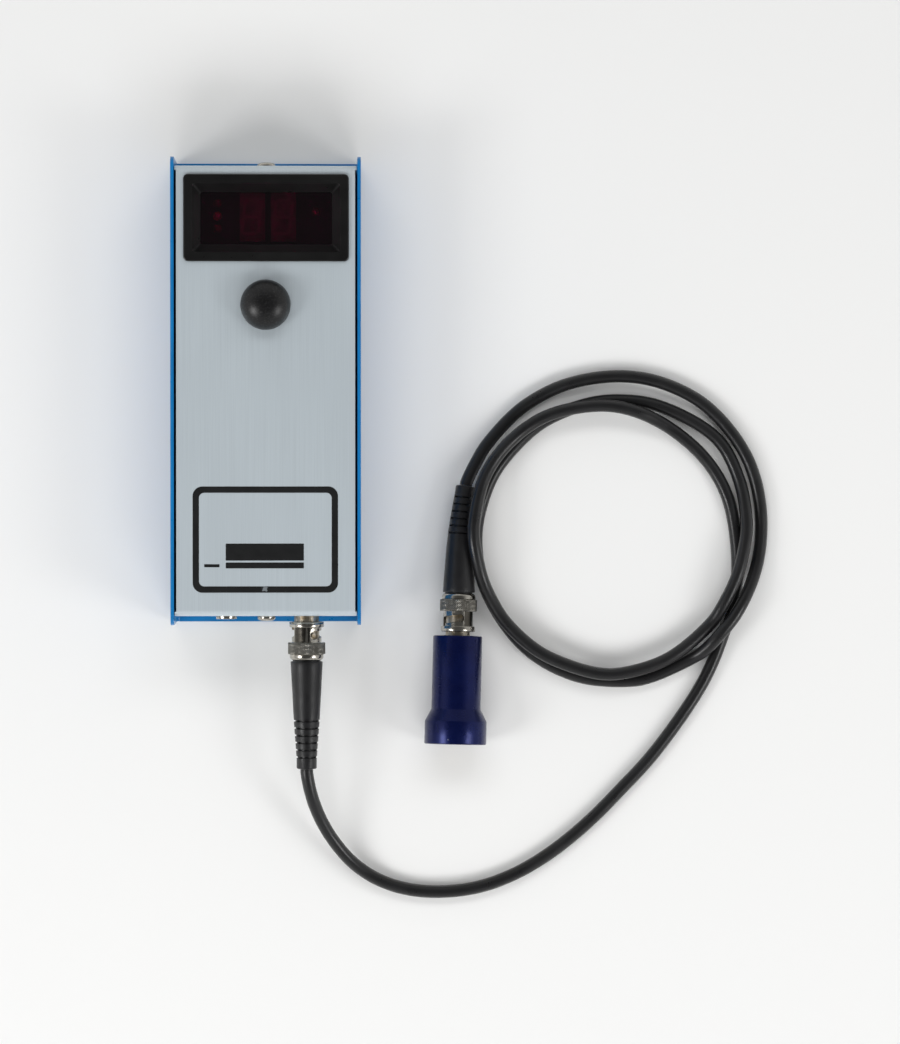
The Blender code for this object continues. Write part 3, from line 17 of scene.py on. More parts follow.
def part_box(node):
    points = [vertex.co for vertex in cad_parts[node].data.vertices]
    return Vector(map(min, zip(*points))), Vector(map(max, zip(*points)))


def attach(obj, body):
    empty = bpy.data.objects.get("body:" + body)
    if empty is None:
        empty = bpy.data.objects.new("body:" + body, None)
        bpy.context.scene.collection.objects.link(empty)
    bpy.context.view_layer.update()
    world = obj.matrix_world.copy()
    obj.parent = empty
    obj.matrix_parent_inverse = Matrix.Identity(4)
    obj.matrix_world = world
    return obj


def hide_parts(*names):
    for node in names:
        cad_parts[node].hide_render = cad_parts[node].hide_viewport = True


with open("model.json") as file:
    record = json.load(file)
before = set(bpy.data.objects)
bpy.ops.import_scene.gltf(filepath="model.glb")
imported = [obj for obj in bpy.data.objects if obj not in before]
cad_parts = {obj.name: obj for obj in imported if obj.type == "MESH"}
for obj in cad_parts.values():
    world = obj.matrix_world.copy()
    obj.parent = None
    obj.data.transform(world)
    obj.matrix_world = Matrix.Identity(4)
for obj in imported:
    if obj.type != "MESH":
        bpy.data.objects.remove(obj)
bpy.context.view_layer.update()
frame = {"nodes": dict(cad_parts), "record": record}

# %% [markdown]
# ## Camera
# The photograph looks straight down on a table, with the display end up. A long lens, about
# 1.56 m above the table, keeps the walls of the box from showing much. The camera stands nearly
# over the box, a little to the left of the aim point, so only a slight tilt is left.

# %% Camera
camera_place = Vector((0.02167, -0.0277, 1.563))
camera_aim = Vector((0.0712, -0.0503, 0.0))

camera_data = bpy.data.cameras.new("table_camera")
camera_data.sensor_fit = "VERTICAL"
camera_data.sensor_height = 24.0
camera_data.lens = 92.2
camera_data.clip_start = 0.01
camera = bpy.data.objects.new("table_camera", camera_data)
back = (camera_place - camera_aim).normalized()
right = Vector((0, 1, 0)).cross(back).normalized()
turned = Matrix((right, back.cross(right), back)).transposed().to_4x4()
camera.matrix_world = Matrix.Translation(camera_place) @ turned
bpy.context.scene.collection.objects.link(camera)
bpy.context.scene.camera = camera
bpy.context.scene.view_settings.view_transform = "Standard"
print("camera", tuple(camera_place), "lens", camera_data.lens)

# %% [markdown]
# ## Axes of the two plugs
# Each plug is built along its own z, which runs from the front rim of its coupling out to the
# lead. The record's turning joint says where that axis is, so the fine pieces land exactly on
# the CAD ones.

# %% Plug axes
def plug_axes(end):
    """Matrix that takes a plug's own coordinates to the row frame."""
    for joint in frame["record"]["behaviour"]["joints"]:
        if joint["name"] == end + "_coupling_turn":
            z_axis = Vector(joint["axis"]).normalized()
            origin = Vector(joint["pos_m"])
    x_axis = Vector((1, 0, 0)) if end == "box" else Vector((0, 0, 1)).cross(z_axis)
    x_axis.normalize()
    basis = Matrix((x_axis, z_axis.cross(x_axis), z_axis)).transposed().to_4x4()
    return Matrix.Translation(origin) @ basis


box_axes = plug_axes("box")
probe_axes = plug_axes("probe")
print("box plug at", tuple(box_axes.translation), "probe plug at", tuple(probe_axes.translation))

# %% [markdown]
# ## Bend of a boot
# The probe's boot leans a little to one side after the metal ferrule that it grips. Its axis is
# straight over the ferrule and then one even arc, so a point on the boot is found from its
# distance along that axis.

# %% Boot axis
BOOT_STRAIGHT = 0.0278
BOOT_END = 0.0566
FIT_GAP = 0.0003  # between any two pieces that fit together
BOOT_BENDS = {"box": 0.0, "probe": math.radians(7.0)}


def boot_axis(along, bend):
    """Centre and sideways direction of the boot at a distance along its axis."""
    if along <= BOOT_STRAIGHT or bend == 0.0:
        return Vector((0, 0, along)), Vector((1, 0, 0))
    turn = bend * (along - BOOT_STRAIGHT) / (BOOT_END - BOOT_STRAIGHT)
    radius = (BOOT_END - BOOT_STRAIGHT) / bend
    centre = Vector((-radius * (1 - math.cos(turn)), 0, BOOT_STRAIGHT + radius * math.sin(turn)))
    return centre, Vector((math.cos(turn), 0, math.sin(turn)))


def boot_tip(axes, bend, past):
    """Point on the lead, a little past the boot's end."""
    centre, sideways = boot_axis(BOOT_END, bend)
    return axes @ (centre + Vector((-sideways.z, 0, sideways.x)) * past)


box_tip = boot_tip(box_axes, BOOT_BENDS["box"], FIT_GAP)
probe_tip = boot_tip(probe_axes, BOOT_BENDS["probe"], FIT_GAP)
print("lead runs from", tuple(box_tip), "to", tuple(probe_tip))

# %% [markdown]
# ## Route of the lead
# The lead is 5 mm coax, 1.12 m long. It leaves the box at its lower end, swings out to the
# right, and lies in three loose turns before it reaches the probe. A soft curve through listed
# points gives this better than a simulation, because the photograph shows every crossing. At a
# crossing the upper turn rises in a long low hump over the lower one.

# %% Route points in metres
ROUTE = [
    (0.0170, -0.1545, 0.0184), (0.0203, -0.1640, 0.0136),
    (0.0258, -0.1738, 0.0088), (0.0332, -0.1826, 0.0052), (0.0426, -0.1892, 0.0031),
    (0.0546, -0.1933, 0.0025), (0.0685, -0.1943, 0.0025), (0.0828, -0.1924, 0.0025),
    (0.0967, -0.1873, 0.0025), (0.1106, -0.1790, 0.0025), (0.1245, -0.1678, 0.0025),
    (0.1384, -0.1539, 0.0025), (0.1510, -0.1401, 0.0025), (0.1697, -0.1131, 0.0025),
    (0.1776, -0.0946, 0.0025), (0.1826, -0.0768, 0.0025), (0.1834, -0.0651, 0.0025),
    (0.1798, -0.0417, 0.0025), (0.1714, -0.0265, 0.0025), (0.1574, -0.0141, 0.0034),
    (0.1426, -0.0070, 0.0070), (0.1291, -0.0050, 0.0081), (0.1089, -0.0089, 0.0081),
    (0.0942, -0.0190, 0.0089), (0.0846, -0.0321, 0.0113), (0.0802, -0.0493, 0.0138),
    (0.0800, -0.0571, 0.0142), (0.0814, -0.0648, 0.0132), (0.0835, -0.0726, 0.0110),
    (0.0870, -0.0804, 0.0092), (0.0925, -0.0890, 0.0082), (0.1037, -0.0994, 0.0075),
    (0.1137, -0.1047, 0.0073), (0.1292, -0.1092, 0.0071), (0.1396, -0.1088, 0.0070),
    (0.1565, -0.1031, 0.0063), (0.1727, -0.0897, 0.0058), (0.1769, -0.0832, 0.0078),
    (0.1828, -0.0707, 0.0088), (0.1860, -0.0572, 0.0074), (0.1865, -0.0495, 0.0058),
    (0.1839, -0.0339, 0.0031), (0.1753, -0.0179, 0.0025), (0.1529, -0.0052, 0.0025),
    (0.1361, -0.0029, 0.0025), (0.1231, -0.0047, 0.0025), (0.1072, -0.0115, 0.0025),
    (0.0959, -0.0214, 0.0025), (0.0876, -0.0327, 0.0025), (0.0823, -0.0482, 0.0025),
    (0.0814, -0.0592, 0.0025), (0.0837, -0.0729, 0.0025), (0.0921, -0.0894, 0.0025),
    (0.1040, -0.1021, 0.0025), (0.1217, -0.1106, 0.0025), (0.1414, -0.1122, 0.0025),
    (0.1497, -0.1106, 0.0025), (0.1655, -0.1034, 0.0034), (0.1702, -0.1002, 0.0060),
    (0.1743, -0.0959, 0.0082), (0.1833, -0.0843, 0.0084), (0.1913, -0.0651, 0.0033),
    (0.1921, -0.0429, 0.0025), (0.1861, -0.0234, 0.0025), (0.1710, -0.0051, 0.0025),
    (0.1530, 0.0041, 0.0025), (0.1361, 0.0065, 0.0025), (0.1162, 0.0032, 0.0025),
    (0.1023, -0.0036, 0.0025), (0.0944, -0.0100, 0.0026), (0.0847, -0.0211, 0.0038),
    (0.0817, -0.0261, 0.0049), (0.0792, -0.0308, 0.0058),
]
print(len(ROUTE), "route points")

# %% [markdown]
# ## Centre line of the lead
# A smooth curve joins the points. It passes through every one of them, and it makes no loops
# where they lie close together. It is then cut into even steps, so that the rings of the tube
# lie evenly all along.

# %% Centre line
LEAD_RADIUS = 0.002475
STRAIGHT_EXIT = 0.001
LEAD_STEPS, CURVE_STEPS = 500, 40


def even_curve(points, count):
    """Evenly spaced points on a smooth curve; the two end points only steer it."""
    fine = []
    for i in range(1, len(points) - 2):
        p0, p1, p2, p3 = points[i - 1:i + 3]
        t1 = (p1 - p0).length ** 0.5
        t2 = t1 + (p2 - p1).length ** 0.5
        t3 = t2 + (p3 - p2).length ** 0.5
        for k in range(CURVE_STEPS):
            t = t1 + (t2 - t1) * k / CURVE_STEPS
            a1 = p0.lerp(p1, t / t1)
            a2 = p1.lerp(p2, (t - t1) / (t2 - t1))
            a3 = p2.lerp(p3, (t - t2) / (t3 - t2))
            b1 = a1.lerp(a2, t / t2)
            b2 = a2.lerp(a3, (t - t1) / (t3 - t1))
            fine.append(b1.lerp(b2, (t - t1) / (t2 - t1)))
    fine.append(points[-2])
    reach = [0.0]
    for a, b in zip(fine, fine[1:]):
        reach.append(reach[-1] + (b - a).length)
    even = []
    j = 0
    for i in range(count):
        want = reach[-1] * i / (count - 1)
        while j < len(reach) - 2 and reach[j + 1] < want:
            j += 1
        even.append(fine[j].lerp(fine[j + 1], (want - reach[j]) / (reach[j + 1] - reach[j])))
    return even


box_exit = boot_tip(box_axes, BOOT_BENDS["box"], FIT_GAP + STRAIGHT_EXIT)
probe_exit = boot_tip(probe_axes, BOOT_BENDS["probe"], FIT_GAP + STRAIGHT_EXIT)
route = [box_tip, box_exit] + [Vector(p) for p in ROUTE] + [probe_exit, probe_tip]
lead_points = [box_tip] + even_curve(route, LEAD_STEPS) + [probe_tip]

# %% [markdown]
# ## The lead as one curve
# An extruded lead has the same round section all along, so a curve with a round bevel is its
# natural shape. The bevel is 1 m deep, so the radius of a point is the lead's own radius.

# %% Lead as one curve
lead_curve = bpy.data.curves.new("coax_lead", "CURVE")
lead_curve.dimensions = "3D"
lead_curve.bevel_depth = 1.0
lead_curve.bevel_resolution = 5
lead_curve.use_fill_caps = True
lead_spline = lead_curve.splines.new("POLY")
lead_spline.points.add(len(lead_points) - 1)
for spline_point, place in zip(lead_spline.points, lead_points):
    spline_point.co = (*place, 1.0)
    spline_point.radius = LEAD_RADIUS
lead_spline.use_smooth = True
lead = bpy.data.objects.new("coax_lead", lead_curve)
bpy.context.scene.collection.objects.link(lead)
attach(lead, "housing")
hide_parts("signal_cable")
print(lead.name, "has", len(lead_points), "points")

# %% [markdown]
# ## Table
# The gauge lies on white card, and one large matt plane stands for it. The plane is a stage and
# no piece of the gauge. Colours are written as sRGB hex values, as a colour picker shows them,
# and one function turns them into the linear values that a shader wants.

# %% Table
def linear(hex_colour):
    """Linear RGBA from an sRGB hex colour."""
    channels = []
    for i in (1, 3, 5):
        c = int(hex_colour[i:i + 2], 16) / 255
        channels.append(c / 12.92 if c <= 0.04045 else ((c + 0.055) / 1.055) ** 2.4)
    return (*channels, 1.0)


table_mesh = bpy.data.meshes.new("table_card")
table_bm = bmesh.new()
bmesh.ops.create_grid(table_bm, x_segments=2, y_segments=2, size=3.0)
table_bm.to_mesh(table_mesh)
table_bm.free()
table = bpy.data.objects.new("table_card", table_mesh)
table.location.z = -0.0001  # just clear of the base
bpy.context.scene.collection.objects.link(table)

card = bpy.data.materials.new("white_card")
card.use_nodes = True
card_shader = card.node_tree.nodes["Principled BSDF"]
card_shader.inputs["Base Color"].default_value = linear("#F0F0EF")
card_shader.inputs["Roughness"].default_value = 0.85
card_shader.inputs["Specular IOR Level"].default_value = 0.2
table_mesh.materials.append(card)
print(table.name, "with", card.name)

# %% [markdown]
# ## Studio light
# Two soft boxes stand left and right on the viewer's side. They give the dome its two soft
# highlights and the round nickel pieces their bright flanks. A wide one high on the viewer's
# side lights the whole table, and a weaker one on the far side keeps the shadow at the display
# end pale. These two only fill, so they stay out of reflections.

# %% Lights
def soft_light(name, place, aim, width, depth, power, mirrored=True):
    """A rectangular area light that faces a point; mirrored shows it in shiny surfaces."""
    data = bpy.data.lights.new(name, "AREA")
    data.shape = "RECTANGLE"
    data.size = width
    data.size_y = depth
    data.energy = power
    light = bpy.data.objects.new(name, data)
    light.location = place
    light.rotation_euler = (Vector(aim) - Vector(place)).to_track_quat("-Z", "Y").to_euler()
    light.visible_glossy = mirrored
    bpy.context.scene.collection.objects.link(light)
    print(name, power, "W")


soft_light("left_softbox", (-0.92, -0.46, 0.86), (0.07, -0.03, 0), 0.45, 0.45, 4.9)
soft_light("right_softbox", (1.06, -0.50, 0.86), (0.07, -0.03, 0), 0.45, 0.45, 3.7)
soft_light("viewer_side_light", (0.07, -1.35, 1.3), (0.07, 0, 0), 1.6, 0.6, 14, False)
soft_light("far_side_light", (0.07, 1.0, 1.4), (0.07, 0, 0), 1.8, 0.5, 8.5, False)

# %% [markdown]
# ## Surround
# The walls of the room are pale and its ceiling is dim, so that black and nickel surfaces that
# face up stay dark. The world's brightness therefore falls with the height of the direction.
# One small function adds a shader node with its values and links, here and in every finish.

# %% Surround
def add_node(tree, kind, inputs=None, **settings):
    """One shader node; inputs maps a socket to a value or to another node's output."""
    node = tree.nodes.new(kind)
    for name, value in settings.items():
        setattr(node, name, value)
    for socket, value in (inputs or {}).items():
        if isinstance(value, bpy.types.NodeSocket):
            tree.links.new(value, node.inputs[socket])
        else:
            node.inputs[socket].default_value = value
    return node


WALL_GLOW, CEILING_GLOW = 0.56, 0.1
WALL_TOP, CEILING_START = 0.45, 0.9  # z of a direction of length 1
surround = bpy.data.worlds.new("studio_surround")
surround.use_nodes = True
room = surround.node_tree
direction = add_node(room, "ShaderNodeTexCoord").outputs["Generated"]
height = add_node(room, "ShaderNodeSeparateXYZ", {"Vector": direction}).outputs["Z"]
glow = add_node(room, "ShaderNodeMapRange",
                {"Value": height, "From Min": WALL_TOP, "From Max": CEILING_START,
                 "To Min": WALL_GLOW, "To Max": CEILING_GLOW},
                interpolation_type="SMOOTHSTEP").outputs["Result"]
room.links.new(glow, room.nodes["Background"].inputs["Strength"])
room.nodes["Background"].inputs["Color"].default_value = linear("#FFFFFF")
bpy.context.scene.world = surround
print(surround.name, "falls from", WALL_GLOW, "to", CEILING_GLOW, "overhead")

# %% [markdown]
# ## How a finish is made
# A finish starts from the bare material: its base colour, how metallic it is and how rough.
# What makes it look real is the small change over the surface. Noise at a size taken from the
# real thing changes the roughness and the colour a little, and lifts or sinks the surface. All
# patterns use object coordinates, which are metres in the CAD frame.

# %% Finish helpers
def new_finish(name, hex_colour, metallic, roughness, **sockets):
    """A material with its Principled shader; other sockets are named with underscores."""
    material = bpy.data.materials.new(name)
    material.use_nodes = True
    shader = material.node_tree.nodes["Principled BSDF"]
    shader.inputs["Base Color"].default_value = linear(hex_colour)
    shader.inputs["Metallic"].default_value = metallic
    shader.inputs["Roughness"].default_value = roughness
    for socket, value in sockets.items():
        shader.inputs[socket.replace("_", " ")].default_value = value
    material.diffuse_color = linear(hex_colour)
    print("finish", name, hex_colour)
    return material, material.node_tree, shader


def noise_of(tree, size_mm, stretch=(1, 1, 1), detail=3.0, distortion=0.0):
    """Noise whose spots are size_mm across; stretch draws them out along an axis."""
    place = add_node(tree, "ShaderNodeTexCoord").outputs["Object"]
    scale = tuple(1000 / size_mm / s for s in stretch)
    spread = add_node(tree, "ShaderNodeMapping", {"Vector": place, "Scale": scale})
    pattern = add_node(tree, "ShaderNodeTexNoise",
                       {"Vector": spread.outputs["Vector"], "Scale": 1.0, "Detail": detail,
                        "Distortion": distortion})
    return pattern.outputs["Fac"]


# %% [markdown]
# ## What a pattern changes
# A pattern can make the surface duller in patches, move its colour, lay dirt or bare metal over
# it, or lift it. Nearly all values of a noise lie between 0.3 and 0.7, so that span is stretched
# to the full change.

# %% Steps of a finish
NOISE_LOW, NOISE_HIGH = 0.3, 0.7


def patchy(tree, shader, pattern, low, high):
    """Roughness that moves from low to high with a noise."""
    gloss = add_node(tree, "ShaderNodeMapRange",
                     {"Value": pattern, "From Min": NOISE_LOW, "From Max": NOISE_HIGH,
                      "To Min": low, "To Max": high})
    tree.links.new(gloss.outputs["Result"], shader.inputs["Roughness"])


def tint(tree, shader, pattern, from_hex, to_hex, start=NOISE_LOW, end=NOISE_HIGH):
    """Base colour that moves from one colour to another where a pattern goes from start to end."""
    share = add_node(tree, "ShaderNodeMapRange",
                     {"Value": pattern, "From Min": start, "From Max": end})
    mix = add_node(tree, "ShaderNodeMix",
                   {0: share.outputs["Result"], 6: linear(from_hex), 7: linear(to_hex)},
                   data_type="RGBA")
    tree.links.new(mix.outputs[2], shader.inputs["Base Color"])


def lay_over(tree, shader, pattern, hex_colour, start, end, most=1):
    """Another colour over the base colour, fading out where a pattern goes from start to end."""
    under = shader.inputs["Base Color"].links[0].from_socket
    share = add_node(tree, "ShaderNodeMapRange",
                     {"Value": pattern, "From Min": start, "From Max": end, "To Min": most,
                      "To Max": 0})
    mix = add_node(tree, "ShaderNodeMix",
                   {0: share.outputs["Result"], 6: under, 7: linear(hex_colour)},
                   data_type="RGBA")
    tree.links.new(mix.outputs[2], shader.inputs["Base Color"])


def relief(tree, shader, height, depth_mm):
    """Bump from a height pattern; depth_mm is its full height."""
    bump = add_node(tree, "ShaderNodeBump", {"Height": height, "Distance": depth_mm / 1000})
    tree.links.new(bump.outputs["Normal"], shader.inputs["Normal"])


def noisy_finish(name, hex_colour, metallic, roughness, gloss=(), tints=(), grit=(), **sockets):
    """A finish with up to three noises, each given by its size in mm, its detail and its range:
    gloss is the roughness, tints are two hex colours, grit is the surface's height in mm."""
    material, tree, shader = new_finish(name, hex_colour, metallic, roughness, **sockets)
    if gloss:
        size_mm, detail, low, high = gloss
        patchy(tree, shader, noise_of(tree, size_mm, detail=detail), low, high)
    if tints:
        size_mm, detail, from_hex, to_hex = tints
        tint(tree, shader, noise_of(tree, size_mm, detail=detail), from_hex, to_hex)
    if grit:
        size_mm, detail, depth_mm = grit
        relief(tree, shader, noise_of(tree, size_mm, detail=detail), depth_mm)
    return material


print("a noise is stretched from", NOISE_LOW, "to", NOISE_HIGH)

# %% [markdown]
# ## Worn spots
# Handling leaves a few marks, such as a chip in the dye or a nick in the print. A spot is the
# distance to a point, made ragged by a fine noise. A finish cuts it off sharply near its edge.

# %% Worn spots
SPOT_EDGE = (0.8, 1.1)  # where the spot starts to fade and where it has gone


def worn_spot(tree, centre, across_mm, ragged_mm):
    """Ragged distance to a point: 0 at the point and about 1 at the edge of the spot."""
    place = add_node(tree, "ShaderNodeTexCoord").outputs["Object"]
    away = add_node(tree, "ShaderNodeVectorMath", {0: place, 1: centre}, operation="DISTANCE")
    edge = add_node(tree, "ShaderNodeMapRange",
                    {"Value": noise_of(tree, ragged_mm, detail=4), "From Min": NOISE_LOW,
                     "From Max": NOISE_HIGH, "To Min": -0.4, "To Max": 0.4}).outputs["Result"]
    spread = add_node(tree, "ShaderNodeMath", {0: away.outputs["Value"], 1: 2000 / across_mm},
                      operation="MULTIPLY").outputs[0]
    return add_node(tree, "ShaderNodeMath", {0: spread, 1: edge}, operation="ADD").outputs[0]


print("a spot fades from", SPOT_EDGE[0], "to", SPOT_EDGE[1], "of its radius")

# %% [markdown]
# ## Stove enamel on the rear case
# The rear case is folded steel with a blue stove enamel. Sprayed and baked enamel flows out
# smooth but keeps a faint orange peel, with waves about 2.5 mm across, and a thin clear gloss.

# %% Blue enamel
blue_enamel, tree, shader = new_finish("blue_stove_enamel", "#0D73B2", 0.0, 0.32, IOR=1.5,
                                       Coat_Weight=0.4, Coat_Roughness=0.12)
peel = noise_of(tree, 2.5, detail=1)
relief(tree, shader, peel, 0.005)
mottle = noise_of(tree, 14)
tint(tree, shader, mottle, "#0B6DAB", "#0F77B7")
patchy(tree, shader, noise_of(tree, 5), 0.26, 0.40)

# %% [markdown]
# ## Brushed and lacquered aluminium on the front panel
# The panel looks grey and silky, with a faint grain along the box. That is brushed aluminium
# under a matt grey lacquer. Brushing leaves scratches 0.1 to 0.3 mm wide and many centimetres
# long. They are drawn 0.35 mm wide here, so that they show at the photograph's size.

# %% Silk grey panel
grey_panel, tree, shader = new_finish("lacquered_brushed_aluminium", "#B4BCC0", 0.25, 0.42,
                                      Coat_Weight=0.15, Coat_Roughness=0.3)
grain = noise_of(tree, 0.35, (1, 140, 1), detail=4)
broad = noise_of(tree, 9, (1, 5, 1), detail=2)
tint(tree, shader, grain, "#BCC6CC", "#C6D0D6", 0.2, 0.8)
patchy(tree, shader, broad, 0.36, 0.48)
relief(tree, shader, grain, 0.002)

# %% [markdown]
# ## Nickel plate
# Plugs, screws and nuts are turned brass or steel with bright nickel. Nickel is a little warm
# and yellowish next to chrome. Years of handling leave a fine haze of scratches and darker
# tarnish in the corners, so the roughness is patchy.

# %% Nickel finishes
nickel_plate, tree, shader = new_finish("bright_nickel_plate", "#B3AEA4", 1.0, 0.18)
haze = noise_of(tree, 2.2, detail=5)
patchy(tree, shader, haze, 0.14, 0.27)
tint(tree, shader, noise_of(tree, 3.5), "#A29E95", "#C6C2B9")
hollow = add_node(tree, "ShaderNodeNewGeometry").outputs["Pointiness"]
lay_over(tree, shader, hollow, "#45413A", 0.44, 0.5, 0.9)
relief(tree, shader, noise_of(tree, 0.25, detail=2), 0.002)

knurl_nickel, tree, shader = new_finish("grimy_nickel_knurl", "#9C9991", 1.0, 0.28)
tint(tree, shader, noise_of(tree, 1.1, detail=4), "#8A877F", "#AFACA4")
hollow = add_node(tree, "ShaderNodeNewGeometry").outputs["Pointiness"]
lay_over(tree, shader, hollow, "#47453F", 0.42, 0.56)
relief(tree, shader, noise_of(tree, 0.2, detail=2), 0.003)

worn_nickel, tree, shader = new_finish("worn_nickel_on_brass", "#A89C8A", 1.0, 0.32)
worn = noise_of(tree, 2.5, detail=5)
tint(tree, shader, worn, "#8E8069", "#B9B2A5", 0.35, 0.65)
patchy(tree, shader, worn, 0.42, 0.24)
relief(tree, shader, noise_of(tree, 0.3, detail=2), 0.003)

zinc_steel, tree, shader = new_finish("zinc_plated_steel", "#B4B8BC", 1.0, 0.38)
spangle = noise_of(tree, 1.8, detail=2, distortion=1.0)
tint(tree, shader, spangle, "#A2A7AC", "#C6C9CC")
patchy(tree, shader, spangle, 0.32, 0.46)
relief(tree, shader, spangle, 0.003)

gold_flash = noisy_finish("gold_plated_contact", "#E2B45A", 1.0, 0.22, gloss=(1.0, 3, 0.18, 0.30),
                          grit=(0.2, 3, 0.001))

# %% [markdown]
# ## Moulded plastics
# The bezel and the switch body are black ABS from a mould with a fine spark-eroded texture,
# with grit about 0.15 mm. It is drawn at 0.3 mm so that it shows. Small wear marks polish it.

# %% Black ABS
black_abs = noisy_finish("textured_black_abs", "#0D0D0D", 0.0, 0.32, gloss=(6, 4, 0.27, 0.38),
                         tints=(11, 3, "#0B0B0B", "#121212"), grit=(0.3, 2, 0.012), IOR=1.54)

# %% [markdown]
# ## Speckled elastomer of the dome
# The cap is a dark grey thermoplastic dome. In the photograph it is matt with pale speckles a
# few tenths of a millimetre across, which are dust and skin grease on a coarse mould texture.

# %% Speckled dome
speckled_dome, tree, shader = new_finish("speckled_matt_elastomer", "#111112", 0.0, 0.36, IOR=1.5)
speck = noise_of(tree, 0.55, detail=2)
tint(tree, shader, speck, "#060607", "#2C2C2D", 0.5, 0.75)
patchy(tree, shader, noise_of(tree, 3.0), 0.31, 0.42)
relief(tree, shader, speck, 0.018)

# %% [markdown]
# ## Rubber of the boots and jacket of the lead
# The boots are moulded PVC rubber, softly shiny where fingers polish them. The lead has a smooth
# black PVC jacket, extruded, with dust that dulls it in patches a few millimetres across. Both
# have a fine unevenness of about half a millimetre.

# %% Rubber and PVC
boot_rubber = noisy_finish("moulded_pvc_boot", "#0F0F11", 0.0, 0.44, gloss=(4, 5, 0.36, 0.54),
                           tints=(7, 3, "#0A0A0C", "#121214"), grit=(0.35, 3, 0.012), IOR=1.53,
                           Sheen_Weight=0.05)
lead_jacket = noisy_finish("extruded_pvc_jacket", "#171718", 0.0, 0.33, gloss=(6, 4, 0.26, 0.42),
                           tints=(20, 3, "#161617", "#1D1D1E"), grit=(0.6, 2, 0.006), IOR=1.53)
lead_curve.materials.append(lead_jacket)

# %% [markdown]
# ## Probe housing
# The probe is turned aluminium with a deep blue anodised skin, polished before the dye. The dye
# sits in a clear oxide layer, so the body looks nearly black-blue with sharp highlights, and
# lighter where the surface turns away. Handling leaves hairline scratches round it. They are
# drawn 0.5 mm wide, so that they show.

# %% Blue anodised aluminium
NICK_PLACE = (0.0698, -0.1337, 0.0237)
probe_blue, tree, shader = new_finish("blue_anodised_aluminium", "#05104A", 0.6, 0.3,
                                      Coat_Weight=0.1, Coat_Roughness=0.12)
rings = noise_of(tree, 0.5, (60, 1, 60), detail=3)
patchy(tree, shader, noise_of(tree, 3, detail=5), 0.24, 0.36)
tint(tree, shader, noise_of(tree, 8), "#020E44", "#05154F")
lay_over(tree, shader, worn_spot(tree, NICK_PLACE, 0.7, 0.4), "#A4A9BC", *SPOT_EDGE)
relief(tree, shader, rings, 0.002)

# %% [markdown]
# ## Filter window, digits and lamps
# The display is covered with a dark red acrylic filter. Unlit, it looks almost black, and the
# digit blocks and lamps behind it barely show. The filter is a tinted glass-like shader, and the
# pieces behind it are real, so they show as they do in the photograph. One lamp gets a brighter
# copy of the lamp epoxy, and its brighter colour is painted light.

# %% Display finishes
red_filter = noisy_finish("dark_red_acrylic_filter", "#9A1270", 0.0, 0.06, IOR=1.49,
                          gloss=(10, 5, 0.04, 0.12), grit=(25, 3, 0.01),
                          Transmission_Weight=1.0)
digit_block = noisy_finish("red_digit_moulding", "#8E3440", 0.0, 0.5, gloss=(2, 3, 0.44, 0.6),
                           tints=(5, 3, "#64244C", "#7E325F"), grit=(0.3, 3, 0.01), IOR=1.5)
segment_epoxy = noisy_finish("milky_segment_epoxy", "#82335F", 0.0, 0.4,
                             gloss=(1.2, 3, 0.34, 0.48), grit=(0.2, 3, 0.004), IOR=1.53)
# the second copy is the same epoxy painted brighter: painted light on one lamp
lamp_epoxy, painted_bright_lamp_epoxy = [
    noisy_finish(name, hex_colour, 0.0, 0.15, gloss=(1.5, 3, 0.1, 0.2), grit=(0.8, 3, 0.006),
                 IOR=1.53, Coat_Weight=0.5)
    for name, hex_colour in (("tinted_lamp_epoxy", "#8C3456"), ("painted_bright_lamp_epoxy", "#C43C66"))]

# %% [markdown]
# ## Circuit boards and battery wrap
# The boards are green fibreglass with a weave of 0.5 mm under a clear solder mask. The shrink
# wrap of the battery has been drawn tight by heat, which leaves long low wrinkles round the
# cells, about 3 mm apart.

# %% Boards and wrap
WEAVE_MM, WAVE_PERIOD = 0.5, 6.28
circuit_board, tree, shader = new_finish("green_fibreglass_board", "#1E5A33", 0.0, 0.4, IOR=1.5,
                                         Coat_Weight=0.4)
weave_place = add_node(tree, "ShaderNodeTexCoord").outputs["Object"]
weave = add_node(tree, "ShaderNodeTexWave",
                 {"Vector": weave_place, "Scale": 1000 / WEAVE_MM / WAVE_PERIOD},
                 bands_direction="DIAGONAL").outputs["Fac"]
tint(tree, shader, noise_of(tree, 4), "#1A5230", "#26683C")
relief(tree, shader, weave, 0.01)

battery_wrap, tree, shader = new_finish("pvc_shrink_wrap", "#2A5F48", 0.0, 0.34, IOR=1.53)
relief(tree, shader, noise_of(tree, 3, (1, 4, 1), detail=4), 0.06)
tint(tree, shader, noise_of(tree, 12), "#255842", "#316B52")

# %% [markdown]
# ## Insulators, chips and the inside of the probe
# PTFE and nylon insulators let a little light in. Chips are moulded epoxy. The probe holds a
# silvered piezo ceramic disc between a cast epoxy face and a filled epoxy backing. All are
# plain mouldings or castings, with a fine unevenness from 0.25 mm to 0.8 mm, and 2.5 mm for the
# cast face.

